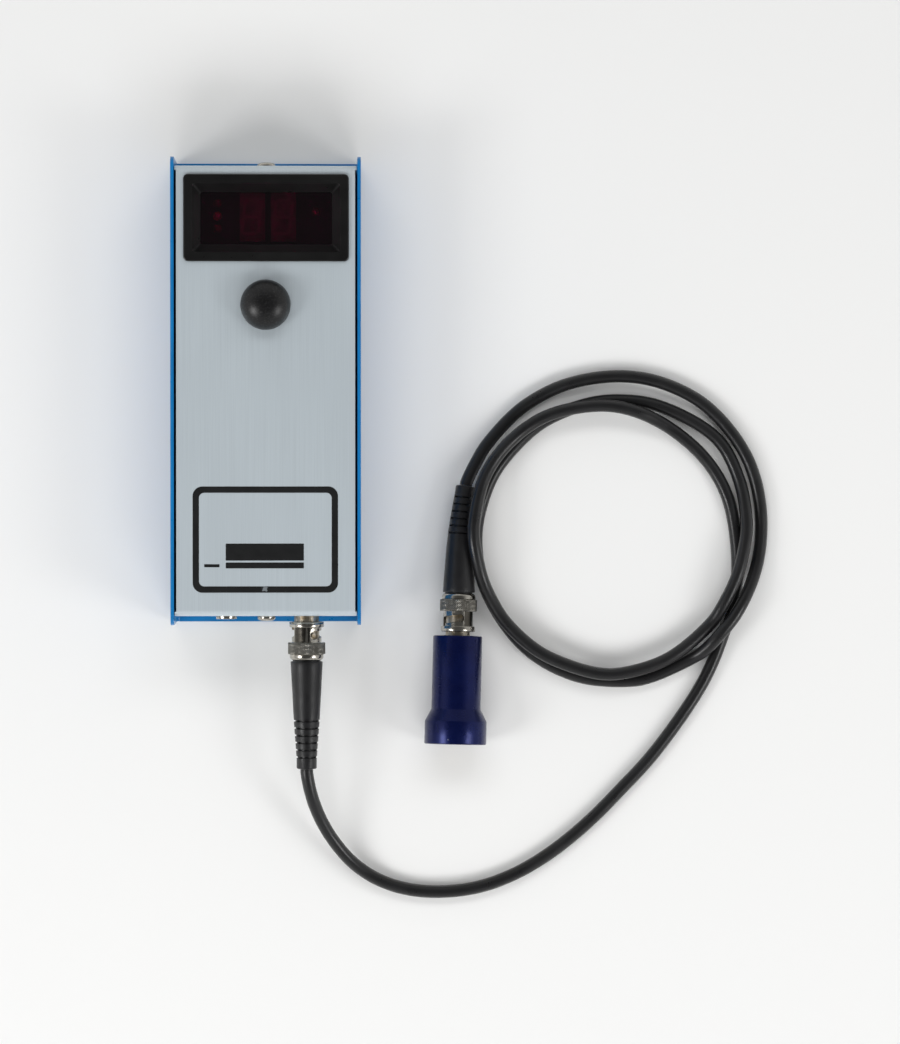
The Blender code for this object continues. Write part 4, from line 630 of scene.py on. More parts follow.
# %% Inner finishes
ptfe = noisy_finish("turned_ptfe", "#E6E5DF", 0.0, 0.5, grit=(0.4, 3, 0.006), IOR=1.35,
                    Subsurface_Weight=0.1, Subsurface_Scale=0.001)
nylon = noisy_finish("moulded_nylon", "#DAD8CC", 0.0, 0.45, grit=(0.8, 3, 0.008), IOR=1.53,
                     Subsurface_Weight=0.1, Subsurface_Scale=0.001)
chip_epoxy = noisy_finish("moulded_chip_epoxy", "#242426", 0.0, 0.6, grit=(0.25, 3, 0.012),
                          IOR=1.55)
lens_epoxy = noisy_finish("cast_epoxy_lens", "#7B6B4E", 0.0, 0.28, grit=(2.5, 5, 0.01),
                          tints=(5, 3, "#736347", "#857557"), IOR=1.55, Coat_Weight=0.2)
piezo_ceramic = noisy_finish("silvered_piezo_ceramic", "#C9C3B4", 0.3, 0.5, grit=(0.5, 3, 0.004))
backing_epoxy = noisy_finish("filled_backing_epoxy", "#3A3A3C", 0.0, 0.7, grit=(0.6, 3, 0.03),
                             tints=(0.6, 3, "#333335", "#4A4A4C"), IOR=1.55)
print(len(bpy.data.materials), "materials in the file")

# %% [markdown]
# ## Meshes from rings
# The fine pieces are built from rings of points that are joined by faces. The points are placed
# in the CAD frame at once, so a piece's object stays at the origin, as the CAD nodes do. Round
# faces are shaded smooth, and a real edge stays sharp.

# %% Rings and shading
def shade(mesh, smooth_angle):
    """Smooth shading across edges below an angle in degrees, sharp edges above it."""
    mesh.shade_smooth()
    mesh.set_sharp_from_angle(angle=math.radians(smooth_angle))


def finish_mesh(name, bm, material, smooth_angle=30.0):
    """An object from a bmesh, shaded smooth below the given edge angle."""
    bmesh.ops.recalc_face_normals(bm, faces=bm.faces)
    mesh = bpy.data.meshes.new(name)
    bm.to_mesh(mesh)
    bm.free()
    shade(mesh, smooth_angle)
    mesh.materials.append(material)
    piece = bpy.data.objects.new(name, mesh)
    bpy.context.scene.collection.objects.link(piece)
    return piece


def sweep(bm, rings, closed=False):
    """Faces between rings of points; closed joins the last ring to the first."""
    rows = [[bm.verts.new(p) for p in ring] for ring in rings]
    pairs = list(zip(rows, rows[1:]))
    if closed:
        pairs.append((rows[-1], rows[0]))
    for a, b in pairs:
        for i in range(max(len(a), len(b))):
            corners = [a[i % len(a)], a[(i + 1) % len(a)], b[(i + 1) % len(b)], b[i % len(b)]]
            bm.faces.new(dict.fromkeys(corners))
    if not closed:
        for row in (rows[0], rows[-1]):
            if len(row) > 2:
                bm.faces.new(row)


# %% [markdown]
# ## Lathe
# Most small pieces of the gauge are turned on a lathe, so their meshes are too: a profile of
# (radius, distance) points is swept round an axis. A corner that a tool has broken gets a short
# chamfer in the profile.

# %% Lathe
CORNER_STEPS = ((0.0003, 0.0), (0.0001, 0.0001), (0.0, 0.0003))


def turned_rings(profile, steps, axes):
    """Rings of a profile about z; a radius of 0 gives a single point."""
    rings = []
    for radius, along in profile:
        ring = []
        for i in range(steps if radius > 0 else 1):
            angle = 2 * math.pi * i / steps
            ring.append(axes @ Vector((radius * math.cos(angle), radius * math.sin(angle), along)))
        rings.append(ring)
    return rings


def broken_edge(radius, along, way=1):
    """Outer corner of an end face, broken by 0.3 mm; way is -1 where the face comes last."""
    return [(radius - inwards, along + way * ahead) for inwards, ahead in CORNER_STEPS][::way]


def turn(name, profile, steps, axes, material, closed=False, smooth_angle=30.0):
    """A turned piece; a closed profile is a ring with a hole through it."""
    bm = bmesh.new()
    sweep(bm, turned_rings(profile, steps, axes), closed)
    return finish_mesh(name, bm, material, smooth_angle)


print("a turned corner is broken by", CORNER_STEPS[0][0], "m")

# %% [markdown]
# ## Cutting and placing
# Slots and recesses are cut as a mill or a punch does it: a helper solid is taken away with a
# boolean, which is applied at once so that no helper stays. Each finished piece is told which
# moving body it rides on and which CAD nodes it stands for.

# %% Cut and place
def bake_modifiers(piece):
    """Keeps the evaluated mesh and drops the modifiers."""
    graph = bpy.context.evaluated_depsgraph_get()
    baked = bpy.data.meshes.new_from_object(piece.evaluated_get(graph))
    piece.modifiers.clear()
    piece.data = baked


def cut(piece, bm, operation="DIFFERENCE"):
    """Boolean with a helper solid."""
    bmesh.ops.recalc_face_normals(bm, faces=bm.faces)
    mesh = bpy.data.meshes.new("helper")
    bm.to_mesh(mesh)
    bm.free()
    tool = bpy.data.objects.new("helper", mesh)
    bpy.context.scene.collection.objects.link(tool)
    modifier = piece.modifiers.new("cut", "BOOLEAN")
    modifier.operation = operation
    modifier.solver = "EXACT"
    modifier.object = tool
    bake_modifiers(piece)
    bpy.data.objects.remove(tool, do_unlink=True)


def stand_for(piece, body, slot, *nodes):
    """The piece rides on a body and stands for CAD nodes; slot is not used."""
    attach(piece, body)
    if nodes:
        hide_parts(*nodes)
    triangles = sum(len(p.vertices) - 2 for p in piece.data.polygons)
    print(piece.name, triangles, "triangles")


# %% [markdown]
# ## Bayonet slots
# A coupling is a turned sleeve with a knurled grip. Two slots are milled through the sleeve:
# each starts at the front rim, climbs round the sleeve and ends in a round seat that locks on a
# stud of the jack. The cutter is one solid that follows the slot's path, as the mill does.

# %% Slot cutters
BORE_R, SLEEVE_R = 0.00505, 0.0057
STUD_PLACE, STUD_TIP_R, STUD_R = 0.0051, 0.0055, 0.00095
SLOT_HALF, SEAT_R, SLOT_LEAD = 0.0014, 0.00165, 0.0008
SLOT_TURN = math.radians(80)
SLOT_STEPS, SLOT_POINT = 64, 0.00005
STUD_ANGLES = {"box": math.radians(59), "probe": math.radians(95)}


def slot_cutter(stud_angle, axes):
    """The two slots as one solid that follows their helical path."""
    bm = bmesh.new()
    span = SLEEVE_R * SLOT_TURN
    first, last = -SEAT_R, span + SLOT_HALF
    inside, outside = BORE_R - 0.0006, SLEEVE_R + 0.0004  # past both faces of the sleeve
    for k in range(2):
        rings = []
        for i in range(SLOT_STEPS + 1):
            a = first + (last - first) * (1 - math.cos(math.pi * i / SLOT_STEPS)) / 2
            half = math.sqrt(max(SEAT_R ** 2 - a * a, 0.0))
            if a > 0:
                past = max(a - span, 0.0)
                half = max(half, math.sqrt(max(SLOT_HALF ** 2 - past ** 2, 0.0)))
            half = max(half, SLOT_POINT)
            middle = STUD_PLACE - SLOT_LEAD * min(max(a, 0.0), span) / span
            t = stud_angle + math.pi * k - a / SLEEVE_R
            section = ((inside, middle - half), (inside, middle + half),
                       (outside, middle + half), (outside, middle - half))
            rings.append([axes @ Vector((r * math.cos(t), r * math.sin(t), z))
                          for r, z in section])
        sweep(bm, rings)
    return bm


def slot_entry(stud_angle, half, reach, low, axes):
    """Straight cuts at the open ends of the two slots."""
    bm = bmesh.new()
    inside, high = BORE_R - 0.0007, STUD_PLACE - SLOT_LEAD
    corners = [(inside, -half), (reach, -half), (reach, half), (inside, half)]
    for k in range(2):
        spin = Matrix.Rotation(stud_angle + math.pi * k - SLOT_TURN, 4, "Z")
        sweep(bm, [[axes @ spin @ Vector((x, y, z)) for x, y in corners] for z in (low, high)])
    return bm


print("a slot runs", round(SLEEVE_R * SLOT_TURN, 5), "m round the sleeve")

# %% [markdown]
# ## Knurled grip
# The knurl is a band of small pyramids, 0.8 mm apart, rolled into the grip by two sets of
# slanted teeth. The mesh is a fine grid round the grip. A point sinks the nearer it is to a
# groove of either set, and both ends of the band are eased down.

# %% Knurled band
KNURL_R, KNURL_START, KNURL_END = 0.0072, 0.00795, 0.01245
TEETH, TOOTH_LEAD, TOOTH_DEEP, END_EASE = 55, 0.00082, 0.0002, 0.0003
GRID_AROUND, GRID_ALONG = 440, 30


def off_ridge(tooth):
    """0 on the ridge of a slanted tooth, 1 in the groove beside it."""
    return abs(tooth % 1.0 - 0.5) * 2


def knurl_band(bm, axes):
    """Outer face of the grip as crossed slanted grooves, added to a bmesh."""
    twist = 2 * math.pi / TEETH * (KNURL_END - KNURL_START) / TOOTH_LEAD
    rows = []
    for j in range(GRID_ALONG + 1):
        v = j / GRID_ALONG
        z = KNURL_START + (KNURL_END - KNURL_START) * v
        row = []
        for i in range(GRID_AROUND):
            t = 2 * math.pi * i / GRID_AROUND
            left = off_ridge((t + twist * v) * TEETH / (2 * math.pi))
            right = off_ridge((t - twist * v) * TEETH / (2 * math.pi))
            r = KNURL_R - TOOTH_DEEP * max(left, right) ** 2
            ease = min(v, 1 - v) * GRID_ALONG
            if ease < 1:
                r -= END_EASE * (1 - ease)
            row.append(bm.verts.new(axes @ Vector((r * math.cos(t), r * math.sin(t), z))))
        rows.append(row)
    for a, b in zip(rows, rows[1:]):
        for i in range(GRID_AROUND):
            j = (i + 1) % GRID_AROUND
            bm.faces.new((a[i], a[j], b[j], b[i])).material_index = 1


print("knurl of", TEETH, "teeth,", round(2 * math.pi * KNURL_R / TEETH, 5), "m apart")

# %% [markdown]
# ## Bayonet couplings
# The sleeve is turned first, with a groove inside for the plug's flange and its spring washer.
# Then the slots are cut, their edges are broken, and the knurl is laid over the grip with its
# own darker nickel, because grime stays in its grooves.

# %% Couplings
RIM_R, RIM_LONG = 0.0066, 0.0021
REAR_RIM_R, COUPLING_LONG = 0.0065, 0.0147
FERRULE_R, FLANGE_R = 0.0042, 0.0056
FLANGE_FRONT, FLANGE_THICK, FLANGE_ROOM, WASHER_ROOM = 0.0103, 0.0009, 0.0008, 0.0011
MOUTH_R, MOUTH_DEEP = 0.0056, 0.0008
MILLED_EDGE = 0.0002


def coupling_profile():
    """Section of the sleeve, from its front rim over the grip and back through the bore."""
    core, rear = KNURL_R - 0.0006, COUPLING_LONG
    groove_back = FLANGE_FRONT + FLANGE_THICK + FIT_GAP + WASHER_ROOM + FIT_GAP
    groove_front = FLANGE_FRONT - FLANGE_ROOM
    profile = [(BORE_R, 0.0002), (BORE_R + 0.0002, 0.0)] + broken_edge(RIM_R, 0.0)
    profile += broken_edge(RIM_R, RIM_LONG, -1)
    profile += [(SLEEVE_R + 0.0001, RIM_LONG), (SLEEVE_R, RIM_LONG + 0.0001)]
    profile += [(SLEEVE_R, KNURL_START - 0.0001), (SLEEVE_R + 0.0001, KNURL_START)]
    profile += [(core, KNURL_START), (core, KNURL_END), (REAR_RIM_R - 0.0002, KNURL_END)]
    profile += [(REAR_RIM_R, KNURL_END + 0.0002), (REAR_RIM_R, rear - 0.0011)]
    profile += [(REAR_RIM_R - 0.00012, rear - 0.0007)]
    profile += [(REAR_RIM_R - 0.0004, rear - 0.0003), (REAR_RIM_R - 0.0008, rear)]
    profile += [(MOUTH_R, rear), (MOUTH_R, rear - MOUTH_DEEP)]
    profile += [(FERRULE_R + FIT_GAP, rear - MOUTH_DEEP), (FERRULE_R + FIT_GAP, groove_back)]
    profile += [(FLANGE_R + FIT_GAP, groove_back), (FLANGE_R + FIT_GAP, groove_front)]
    return profile + [(BORE_R, groove_front)]


def coupling(end, axes):
    """One coupling with slots, entry grooves and knurl."""
    piece = turn(end + "_coupling", coupling_profile(), 120, axes, nickel_plate, closed=True)
    angle = STUD_ANGLES[end]
    cut(piece, slot_cutter(angle, axes))
    cut(piece, slot_entry(angle, SLOT_HALF - 0.0001, SLEEVE_R + 0.0008, RIM_LONG + 0.0003, axes))
    cut(piece, slot_entry(angle, STUD_R + FIT_GAP, STUD_TIP_R + FIT_GAP, -0.001, axes))
    edge = piece.modifiers.new("milled_edge", "BEVEL")
    edge.width = MILLED_EDGE
    edge.segments = 2
    edge.limit_method = "ANGLE"
    edge.angle_limit = math.radians(50)
    bake_modifiers(piece)
    bm = bmesh.new()
    bm.from_mesh(piece.data)
    knurl_band(bm, axes)
    bm.to_mesh(piece.data)
    bm.free()
    piece.data.materials.append(knurl_nickel)
    shade(piece.data, 28)
    stand_for(piece, end + "_coupling", "nickel", end + "_plug_coupling")


coupling("box", box_axes)
coupling("probe", probe_axes)

# %% [markdown]
# ## Barrels of the two jacks
# The coupling locks on a short nickel-plated brass barrel with two studs. The barrel of the box
# has lost its shine and shows the brass through the nickel, so both get the worn finish. The
# studs are pressed in, so they are joined to the barrel with a boolean.

# %% Jack barrels
BARREL_R, BARREL_WALL, BARREL_FLOOR = 0.0048, 0.00075, 0.0006
BARREL_END, BARREL_BEHIND = 0.009, 0.0115
SHOULDER_R, SHOULDER_THICK = 0.0068, 0.0018
CORE_R = 0.00235
PLUG_STARTS = {"box": 0.00285, "probe": 0.0016}
WALLS = {"box": 0.0013, "probe": 0.003}
STUD_EDGE = 0.00015


def jack_barrel(end, axes, body):
    """Barrel with its inner flange and two studs; z starts at the coupling's rim."""
    face = -PLUG_STARTS[end]
    inside = face - WALLS[end] - FIT_GAP
    rear = face - BARREL_BEHIND
    bore, core = BARREL_R - BARREL_WALL, CORE_R + FIT_GAP
    profile = [(core, rear), (core, BARREL_FLOOR), (bore, BARREL_FLOOR)]
    profile += [(bore, BARREL_END - 0.0002), (bore + 0.0002, BARREL_END)]
    profile += [(BARREL_R - 0.0003, BARREL_END), (BARREL_R, BARREL_END - 0.0004)]
    profile += [(BARREL_R, inside), (SHOULDER_R, inside), (SHOULDER_R, inside - SHOULDER_THICK)]
    profile += [(BARREL_R, inside - SHOULDER_THICK), (BARREL_R, rear)]
    piece = turn(end + "_jack_barrel", profile, 72, axes, worn_nickel, closed=True)
    root = BARREL_R - BARREL_WALL * 0.6
    stud = [(0.0, root), (STUD_R, root), (STUD_R, STUD_TIP_R - STUD_EDGE)]
    stud += [(STUD_R - STUD_EDGE, STUD_TIP_R), (0.0, STUD_TIP_R)]
    bm = bmesh.new()
    for k in range(2):
        spin = Matrix.Rotation(STUD_ANGLES[end] + math.pi * k, 4, "Z")
        out = Matrix.Rotation(math.radians(90), 4, "Y")
        place = axes @ Matrix.Translation((0, 0, STUD_PLACE)) @ spin @ out
        sweep(bm, turned_rings(stud, 28, place))
    cut(piece, bm, "UNION")
    shade(piece.data, 30)
    stand_for(piece, body, "nickel", end + "_jack_body")


jack_barrel("box", box_axes, "housing")
jack_barrel("probe", probe_axes, "housing")

# %% [markdown]
# ## Ribbed boots
# A boot is one rubber moulding that slips over the ferrule and keeps the lead from kinking. It
# tapers towards the lead. Near its end six grooves let it bend, and three webs, a third of a
# turn apart, bridge each groove. The mesh is a grid round the bent axis: its radius drops in the
# grooves, except at the webs.

# %% Section of a boot
BOOT_BASE_R, BOOT_MIDDLE_R, BOOT_TIP_R = 0.0062, 0.00496, 0.003875
BOOT_BASE, BOOT_MIDDLE, BOOT_COLLAR = 0.0153, 0.0384, 0.053
GROOVE_PITCH, GROOVE_HALF, GROOVE_DEEP, GROOVE_COUNT = 0.0028, 0.00036, 0.00095, 6
LAST_GROOVE = BOOT_COLLAR - 0.0009
# shares of a groove's half width, and of its depth there
GROOVE_SECTION = ((-1.2, 0), (-1.06, 0.05), (-0.98, 0.2), (-0.88, 1), (0.88, 1), (0.98, 0.2),
                  (1.06, 0.05), (1.2, 0))
WEB_ANGLES = {"box": (25, 145, 265), "probe": (130, 250, 10)}
WEB_HALF, WEB_SIDE = 9, 4  # degrees


def boot_radius(along):
    """Radius of the plain taper, in two straight stretches up to the collar."""
    if along < BOOT_MIDDLE:
        share = (along - BOOT_BASE) / (BOOT_MIDDLE - BOOT_BASE)
        return BOOT_BASE_R + (BOOT_MIDDLE_R - BOOT_BASE_R) * share
    share = min((along - BOOT_MIDDLE) / (BOOT_COLLAR - BOOT_MIDDLE), 1.0)
    return BOOT_MIDDLE_R + (BOOT_TIP_R - BOOT_MIDDLE_R) * share


def web_share(end, angle):
    """1 on a web, 0 between webs, with a soft side."""
    share = 0.0
    for web in WEB_ANGLES[end]:
        apart = abs((math.degrees(angle) - web + 180) % 360 - 180)
        share = max(share, min(max((WEB_HALF - apart) / WEB_SIDE, 0.0), 1.0))
    return share * share * (3 - 2 * share)


def boot_stations():
    """Places along a boot, each with an inset for a broken edge and a share of groove depth."""
    step_long = 0.002
    stations = [(BOOT_BASE, -0.0002, 0), (BOOT_BASE + 0.0001, -0.00006, 0)]
    stations += [(BOOT_BASE + 0.0003, 0, 0)]
    along = BOOT_BASE + step_long
    first = LAST_GROOVE - (GROOVE_COUNT - 1) * GROOVE_PITCH
    while along < first - GROOVE_HALF - 0.001:
        stations.append((along, 0, 0))
        along += step_long
    for i in range(GROOVE_COUNT):
        at = first + i * GROOVE_PITCH
        stations += [(at + step * GROOVE_HALF, 0, deep) for step, deep in GROOVE_SECTION]
    stations += [(BOOT_COLLAR + 0.0002, 0, 0), (BOOT_END - 0.0006, 0, 0)]
    return stations + [(BOOT_END - 0.0002, -0.00012, 0), (BOOT_END, -0.0005, 0)]


print("a boot tapers from", BOOT_BASE_R, "to", BOOT_TIP_R, "m radius")

# %% [markdown]
# ## The two boots as meshes
# The rings start on the ferrule inside the boot, come out over its open base, run along the
# outside and close on the lead. A ring stands square to the bent axis.

# %% Boots
BOOT_MOUTH_R, BOOT_MOUTH_DEEP, FERRULE_END = 0.0053, 0.0008, 0.0271
BOOT_STEPS = 120
TIP_FACE = 0.83  # share of the tip's radius that is flat


def boot_ring(axes, bend, along, radius_at):
    """Ring square to the bent axis; radius_at gives its radius at an angle."""
    centre, sideways = boot_axis(along, bend)
    ring = []
    for i in range(BOOT_STEPS):
        angle = 2 * math.pi * i / BOOT_STEPS
        r = radius_at(angle)
        ring.append(axes @ (centre + sideways * (r * math.cos(angle))
                            + Vector((0, r * math.sin(angle), 0))))
    return ring


def boot(end, axes):
    """One boot from its open base over the grooves to its collar."""
    bend = BOOT_BENDS[end]
    ferrule, mouth_end = FERRULE_R + FIT_GAP, BOOT_BASE - BOOT_MOUTH_DEEP
    inner = [(0.0, FERRULE_END), (ferrule, FERRULE_END), (ferrule, mouth_end),
             (BOOT_MOUTH_R, mouth_end), (BOOT_MOUTH_R, BOOT_BASE)]
    rings = turned_rings(inner, BOOT_STEPS, axes)
    for along, inset, deep in boot_stations():
        plain = boot_radius(along) + inset
        rings.append(boot_ring(axes, bend, along, lambda angle:
                               plain - GROOVE_DEEP * deep * (1 - web_share(end, angle))))
    rings.append(boot_ring(axes, bend, BOOT_END, lambda angle: BOOT_TIP_R * TIP_FACE))
    rings.append([axes @ boot_axis(BOOT_END, bend)[0]])
    bm = bmesh.new()
    sweep(bm, rings)
    piece = finish_mesh(end + "_boot", bm, boot_rubber, 40)
    stand_for(piece, "housing", "boot_rubber", end + "_plug_boot")
    return piece


box_boot = boot("box", box_axes)
probe_boot = boot("probe", probe_axes)

# %% [markdown]
# ## Probe housing and face
# The probe is one turned housing: a slim body for the hand, a short cone and a wider head that
# holds the flat epoxy face. Its edges are rounded a little, and they catch the light.

# %% Probe
PROBE_BODY_R, PROBE_HEAD_R, PROBE_BORE_R = 0.009525, 0.012, 0.0078
PROBE_BODY_LONG, PROBE_CONE_LONG, PROBE_HEAD_LONG = 0.0284, 0.0047, 0.0089
PROBE_LONG = PROBE_BODY_LONG + PROBE_CONE_LONG + PROBE_HEAD_LONG
LENS_R, LENS_THICK = 0.0101, 0.0022
ARC_SHARE = 0.29  # how far the middle of a quarter arc lies from its corner, along each leg
probe_rear = probe_axes @ Matrix.Translation((0, 0, -PLUG_STARTS["probe"]))


def rounded_corner(r, along, from_r, from_along, to_r, to_along, size):
    """Three points that round a profile's corner by size."""
    corner = Vector((r, along))
    back = (Vector((from_r, from_along)) - corner).normalized() * size
    ahead = (Vector((to_r, to_along)) - corner).normalized() * size
    middle = corner + (back + ahead) * ARC_SHARE
    return [tuple(corner + back), tuple(middle), tuple(corner + ahead)]


cone_start, cone_end = -PROBE_BODY_LONG, -PROBE_BODY_LONG - PROBE_CONE_LONG
front, seat = -PROBE_LONG, -PROBE_LONG + LENS_THICK + FIT_GAP
outline = [(LENS_R + FIT_GAP, front), (PROBE_HEAD_R, front), (PROBE_HEAD_R, cone_end),
           (PROBE_BODY_R, cone_start), (PROBE_BODY_R, 0.0), (BARREL_R + FIT_GAP, 0.0)]
CORNER_SIZES = (0.0005, 0.00025, 0.0003, 0.0005)
profile = [outline[0]]
for i, size in enumerate(CORNER_SIZES):
    profile += rounded_corner(*outline[i + 1], *outline[i], *outline[i + 2], size)
profile += [outline[-1], (BARREL_R + FIT_GAP, -WALLS["probe"]), (PROBE_BORE_R, -WALLS["probe"])]
profile += [(PROBE_BORE_R, seat), (LENS_R + FIT_GAP, seat)]
probe_shell = turn("probe_shell", profile, 128, probe_rear, probe_blue, closed=True)
stand_for(probe_shell, "housing", "probe_blue", "probe_housing")

face = [(0.0, front)] + broken_edge(LENS_R, front)
face += [(LENS_R, front + LENS_THICK), (0.0, front + LENS_THICK)]
stand_for(turn("probe_face", face, 96, probe_rear, lens_epoxy), "housing", "lens", "probe_lens")

# %% [markdown]
# ## Dome button
# The cap is a low dome on a short skirt, hollow underneath so that it clears the nut of the
# switch. It travels 2 mm. The dome is one quarter of an ellipse, swept round.

# %% Button cap
DOME_R, DOME_TALL, DOME_RIM, DOME_RECESS = 0.009525, 0.0085, 0.0012, 0.0036
DOME_WALL, DOME_LIP = 0.0012, 0.0010
BUSHING_R = 0.0058  # of the switch that the stem goes into
STEM_R = BUSHING_R * 0.45
DOME_STEPS = 30
low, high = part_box("button_cap")
dome_foot = high[2] - DOME_TALL
stem_long = high[2] - low[2] - DOME_TALL
button_axes = Matrix.Translation(((low[0] + high[0]) / 2, (low[1] + high[1]) / 2, dome_foot))
profile = [(0.0, -stem_long), (STEM_R, -stem_long), (STEM_R, DOME_RECESS)]
profile += [(DOME_R - DOME_WALL, DOME_RECESS), (DOME_R - DOME_WALL, 0.0002)]
profile += [(DOME_R - DOME_LIP, 0.0)] + broken_edge(DOME_R, 0.0)
profile += [(DOME_R, DOME_RIM - 0.0002)]
for i in range(1, DOME_STEPS + 1):
    t = math.radians(90 / DOME_STEPS * i)
    profile.append((DOME_R * math.cos(t) if i < DOME_STEPS else 0.0,
                    DOME_RIM + (DOME_TALL - DOME_RIM) * math.sin(t)))
dome = turn("dome_button", profile, 96, button_axes, speckled_dome, smooth_angle=45)
stand_for(dome, "button", "dome", "button_cap")

# %% [markdown]
# ## End screws
# A pan-head screw with a cross recess holds each end of the case. The head has a straight side
# and a rounded crown with a flat middle. The recess is cut with a tapered cross, as the punch
# that forms it has.

# %% Case screws
HEAD_R, HEAD_TALL = 0.0035, 0.0022
SHANK_R, SHANK_LONG, SHANK_TIP = 0.00175, 0.008, 0.0073
CROWN_FLAT, CROWN_ROUND, SIDE_SHARE, CROWN_SHARE = 0.45, 0.55, 0.4, 0.6
CROWN_STEPS = 8
# the cross at its mouth and at its bottom: place, half length and half width of an arm
RECESS = ((HEAD_TALL + 0.001, HEAD_R * 0.60, 0.00052), (HEAD_TALL - 0.0012, HEAD_R * 0.34, 0.00036))


def case_screw(end, sign):
    """Screw on the panel's end face; sign is the side of the case along y."""
    low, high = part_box("case_screw_" + end)
    panel_low, panel_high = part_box("front_panel")
    seat = panel_high[1] if sign > 0 else panel_low[1]
    turn_up = Matrix.Rotation(math.radians(-90 * sign), 4, "X")
    axes = Matrix.Translation(((low[0] + high[0]) / 2, seat, (low[2] + high[2]) / 2)) @ turn_up
    profile = [(0.0, -SHANK_LONG), (SHANK_R * 0.6, -SHANK_LONG), (SHANK_R, -SHANK_TIP)]
    profile += [(SHANK_R, FIT_GAP), (HEAD_R - 0.0001, FIT_GAP), (HEAD_R, 0.0005)]
    for i in range(CROWN_STEPS + 1):
        t = math.radians(90 * i / CROWN_STEPS)
        profile.append((HEAD_R * CROWN_FLAT + HEAD_R * CROWN_ROUND * math.cos(t),
                        FIT_GAP + HEAD_TALL * (SIDE_SHARE + CROWN_SHARE * math.sin(t))))
    profile.append((0.0, FIT_GAP + HEAD_TALL))
    piece = turn("pan_screw_" + end, profile, 64, axes, nickel_plate)
    for across in (False, True):
        rings = []
        for z, arm, half in RECESS:
            corners = [(-arm, -half), (arm, -half), (arm, half), (-arm, half)]
            if across:
                corners = [(-y, x) for x, y in corners]
            rings.append([axes @ Vector((x, y, z)) for x, y in corners])
        cutter = bmesh.new()
        sweep(cutter, rings)
        cut(piece, cutter)
    shade(piece.data, 30)
    stand_for(piece, "housing", "nickel", "case_screw_" + end)


case_screw("top", 1)
case_screw("bottom", -1)

# %% [markdown]
# ## Nut of the charging jack
# A thin ring nut holds the charging jack in the panel's end face. It is a plain turned ring with
# a rounded outer edge.

# %% Charging jack nut
NUT_BORE_R, NUT_R = 0.0033, 0.00405
low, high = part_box("charge_jack_nut")
nut_axes = Matrix.Translation(((low[0] + high[0]) / 2, high[1], (low[2] + high[2]) / 2))
nut_axes = nut_axes @ Matrix.Rotation(math.radians(90), 4, "X")
nut_long = high[1] - low[1]
profile = [(NUT_BORE_R, 0.0), (NUT_R, 0.0), (NUT_R, nut_long - 0.0003)]
profile += [(NUT_R - 0.0001, nut_long - 0.0001), (NUT_R - 0.0003, nut_long)]
profile += [(NUT_BORE_R + 0.0002, nut_long), (NUT_BORE_R, nut_long - 0.0002)]
charge_nut = turn("charging_nut", profile, 72, nut_axes, nickel_plate, closed=True)
stand_for(charge_nut, "housing", "nickel", "charge_jack_nut")

# %% [markdown]
# ## Printing ink
# The label place is screen printed in matt black ink. The ink is a little uneven where it dried,
# and handling has rubbed a small nick out of the lower edge of the frame.

# %% Ink finish
NICK_IN_PRINT = (-0.0004, -0.0751)
panel_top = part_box("front_panel")[1][2]
panel_ink, tree, shader = new_finish("screen_printed_ink", "#0E0F10", 0.0, 0.5, IOR=1.5)
patchy(tree, shader, noise_of(tree, 3, detail=5), 0.44, 0.6)
nick = worn_spot(tree, (*NICK_IN_PRINT, panel_top), 2.0, 0.7)
tint(tree, shader, nick, "#70767A", "#0E0F10", *SPOT_EDGE)
relief(tree, shader, noise_of(tree, 0.35), 0.006)

# %% [markdown]
# ## Printed frame and fields
# The print is a frame with rounded corners and three plain fields. Printing ink is only
# hundredths of a millimetre thick, so each field is a very thin plate on the panel.

# %% Printed fields
INK, INK_LIFT = 0.00003, 0.00001
LABEL_LEFT, LABEL_RIGHT, LABEL_LOW, LABEL_HIGH = -0.0277, 0.0274, -0.0765, -0.0362
LABEL_BAND, LABEL_CORNER, FIELD_CORNER = 0.0024, 0.0037, 0.0002
FIELDS = {"label_block": (-0.01518, 0.01445, -0.06432, -0.05786),
          "label_strip": (-0.01518, 0.01445, -0.06728, -0.06504),
          "label_bar": (-0.02334, -0.01753, -0.06683, -0.06569)}


def rounded_outline(x0, x1, y0, y1, r, steps=10):
    """Corner-rounded rectangle as a list of points."""
    points = []
    for cx, cy, start in ((x1 - r, y1 - r, 0), (x0 + r, y1 - r, 90), (x0 + r, y0 + r, 180),
                          (x1 - r, y0 + r, 270)):
        for i in range(steps + 1):
            t = math.radians(start + 90 * i / steps)
            points.append((cx + r * math.cos(t), cy + r * math.sin(t)))
    return points


def ink_piece(name, stack, closed=False):
    """Thin plate of ink from outlines, each with its height: 0 is its foot and 1 its face."""
    heights = (panel_top + INK_LIFT, panel_top + INK_LIFT + INK)
    bm = bmesh.new()
    sweep(bm, [[(x, y, heights[level]) for x, y in outline] for outline, level in stack], closed)
    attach(finish_mesh(name, bm, panel_ink), "housing")


outer = rounded_outline(LABEL_LEFT, LABEL_RIGHT, LABEL_LOW, LABEL_HIGH, LABEL_CORNER)
inner = rounded_outline(LABEL_LEFT + LABEL_BAND, LABEL_RIGHT - LABEL_BAND, LABEL_LOW + LABEL_BAND,
                        LABEL_HIGH - LABEL_BAND, LABEL_CORNER - LABEL_BAND * 0.7)
ink_piece("label_frame", [(inner, 0), (inner, 1), (outer, 1), (outer, 0)], closed=True)
for name, sides in FIELDS.items():
    field = rounded_outline(*sides, FIELD_CORNER, 2)
    ink_piece(name, [(field, 0), (field, 1)])
print("label frame and", len(FIELDS), "fields at z", panel_top)

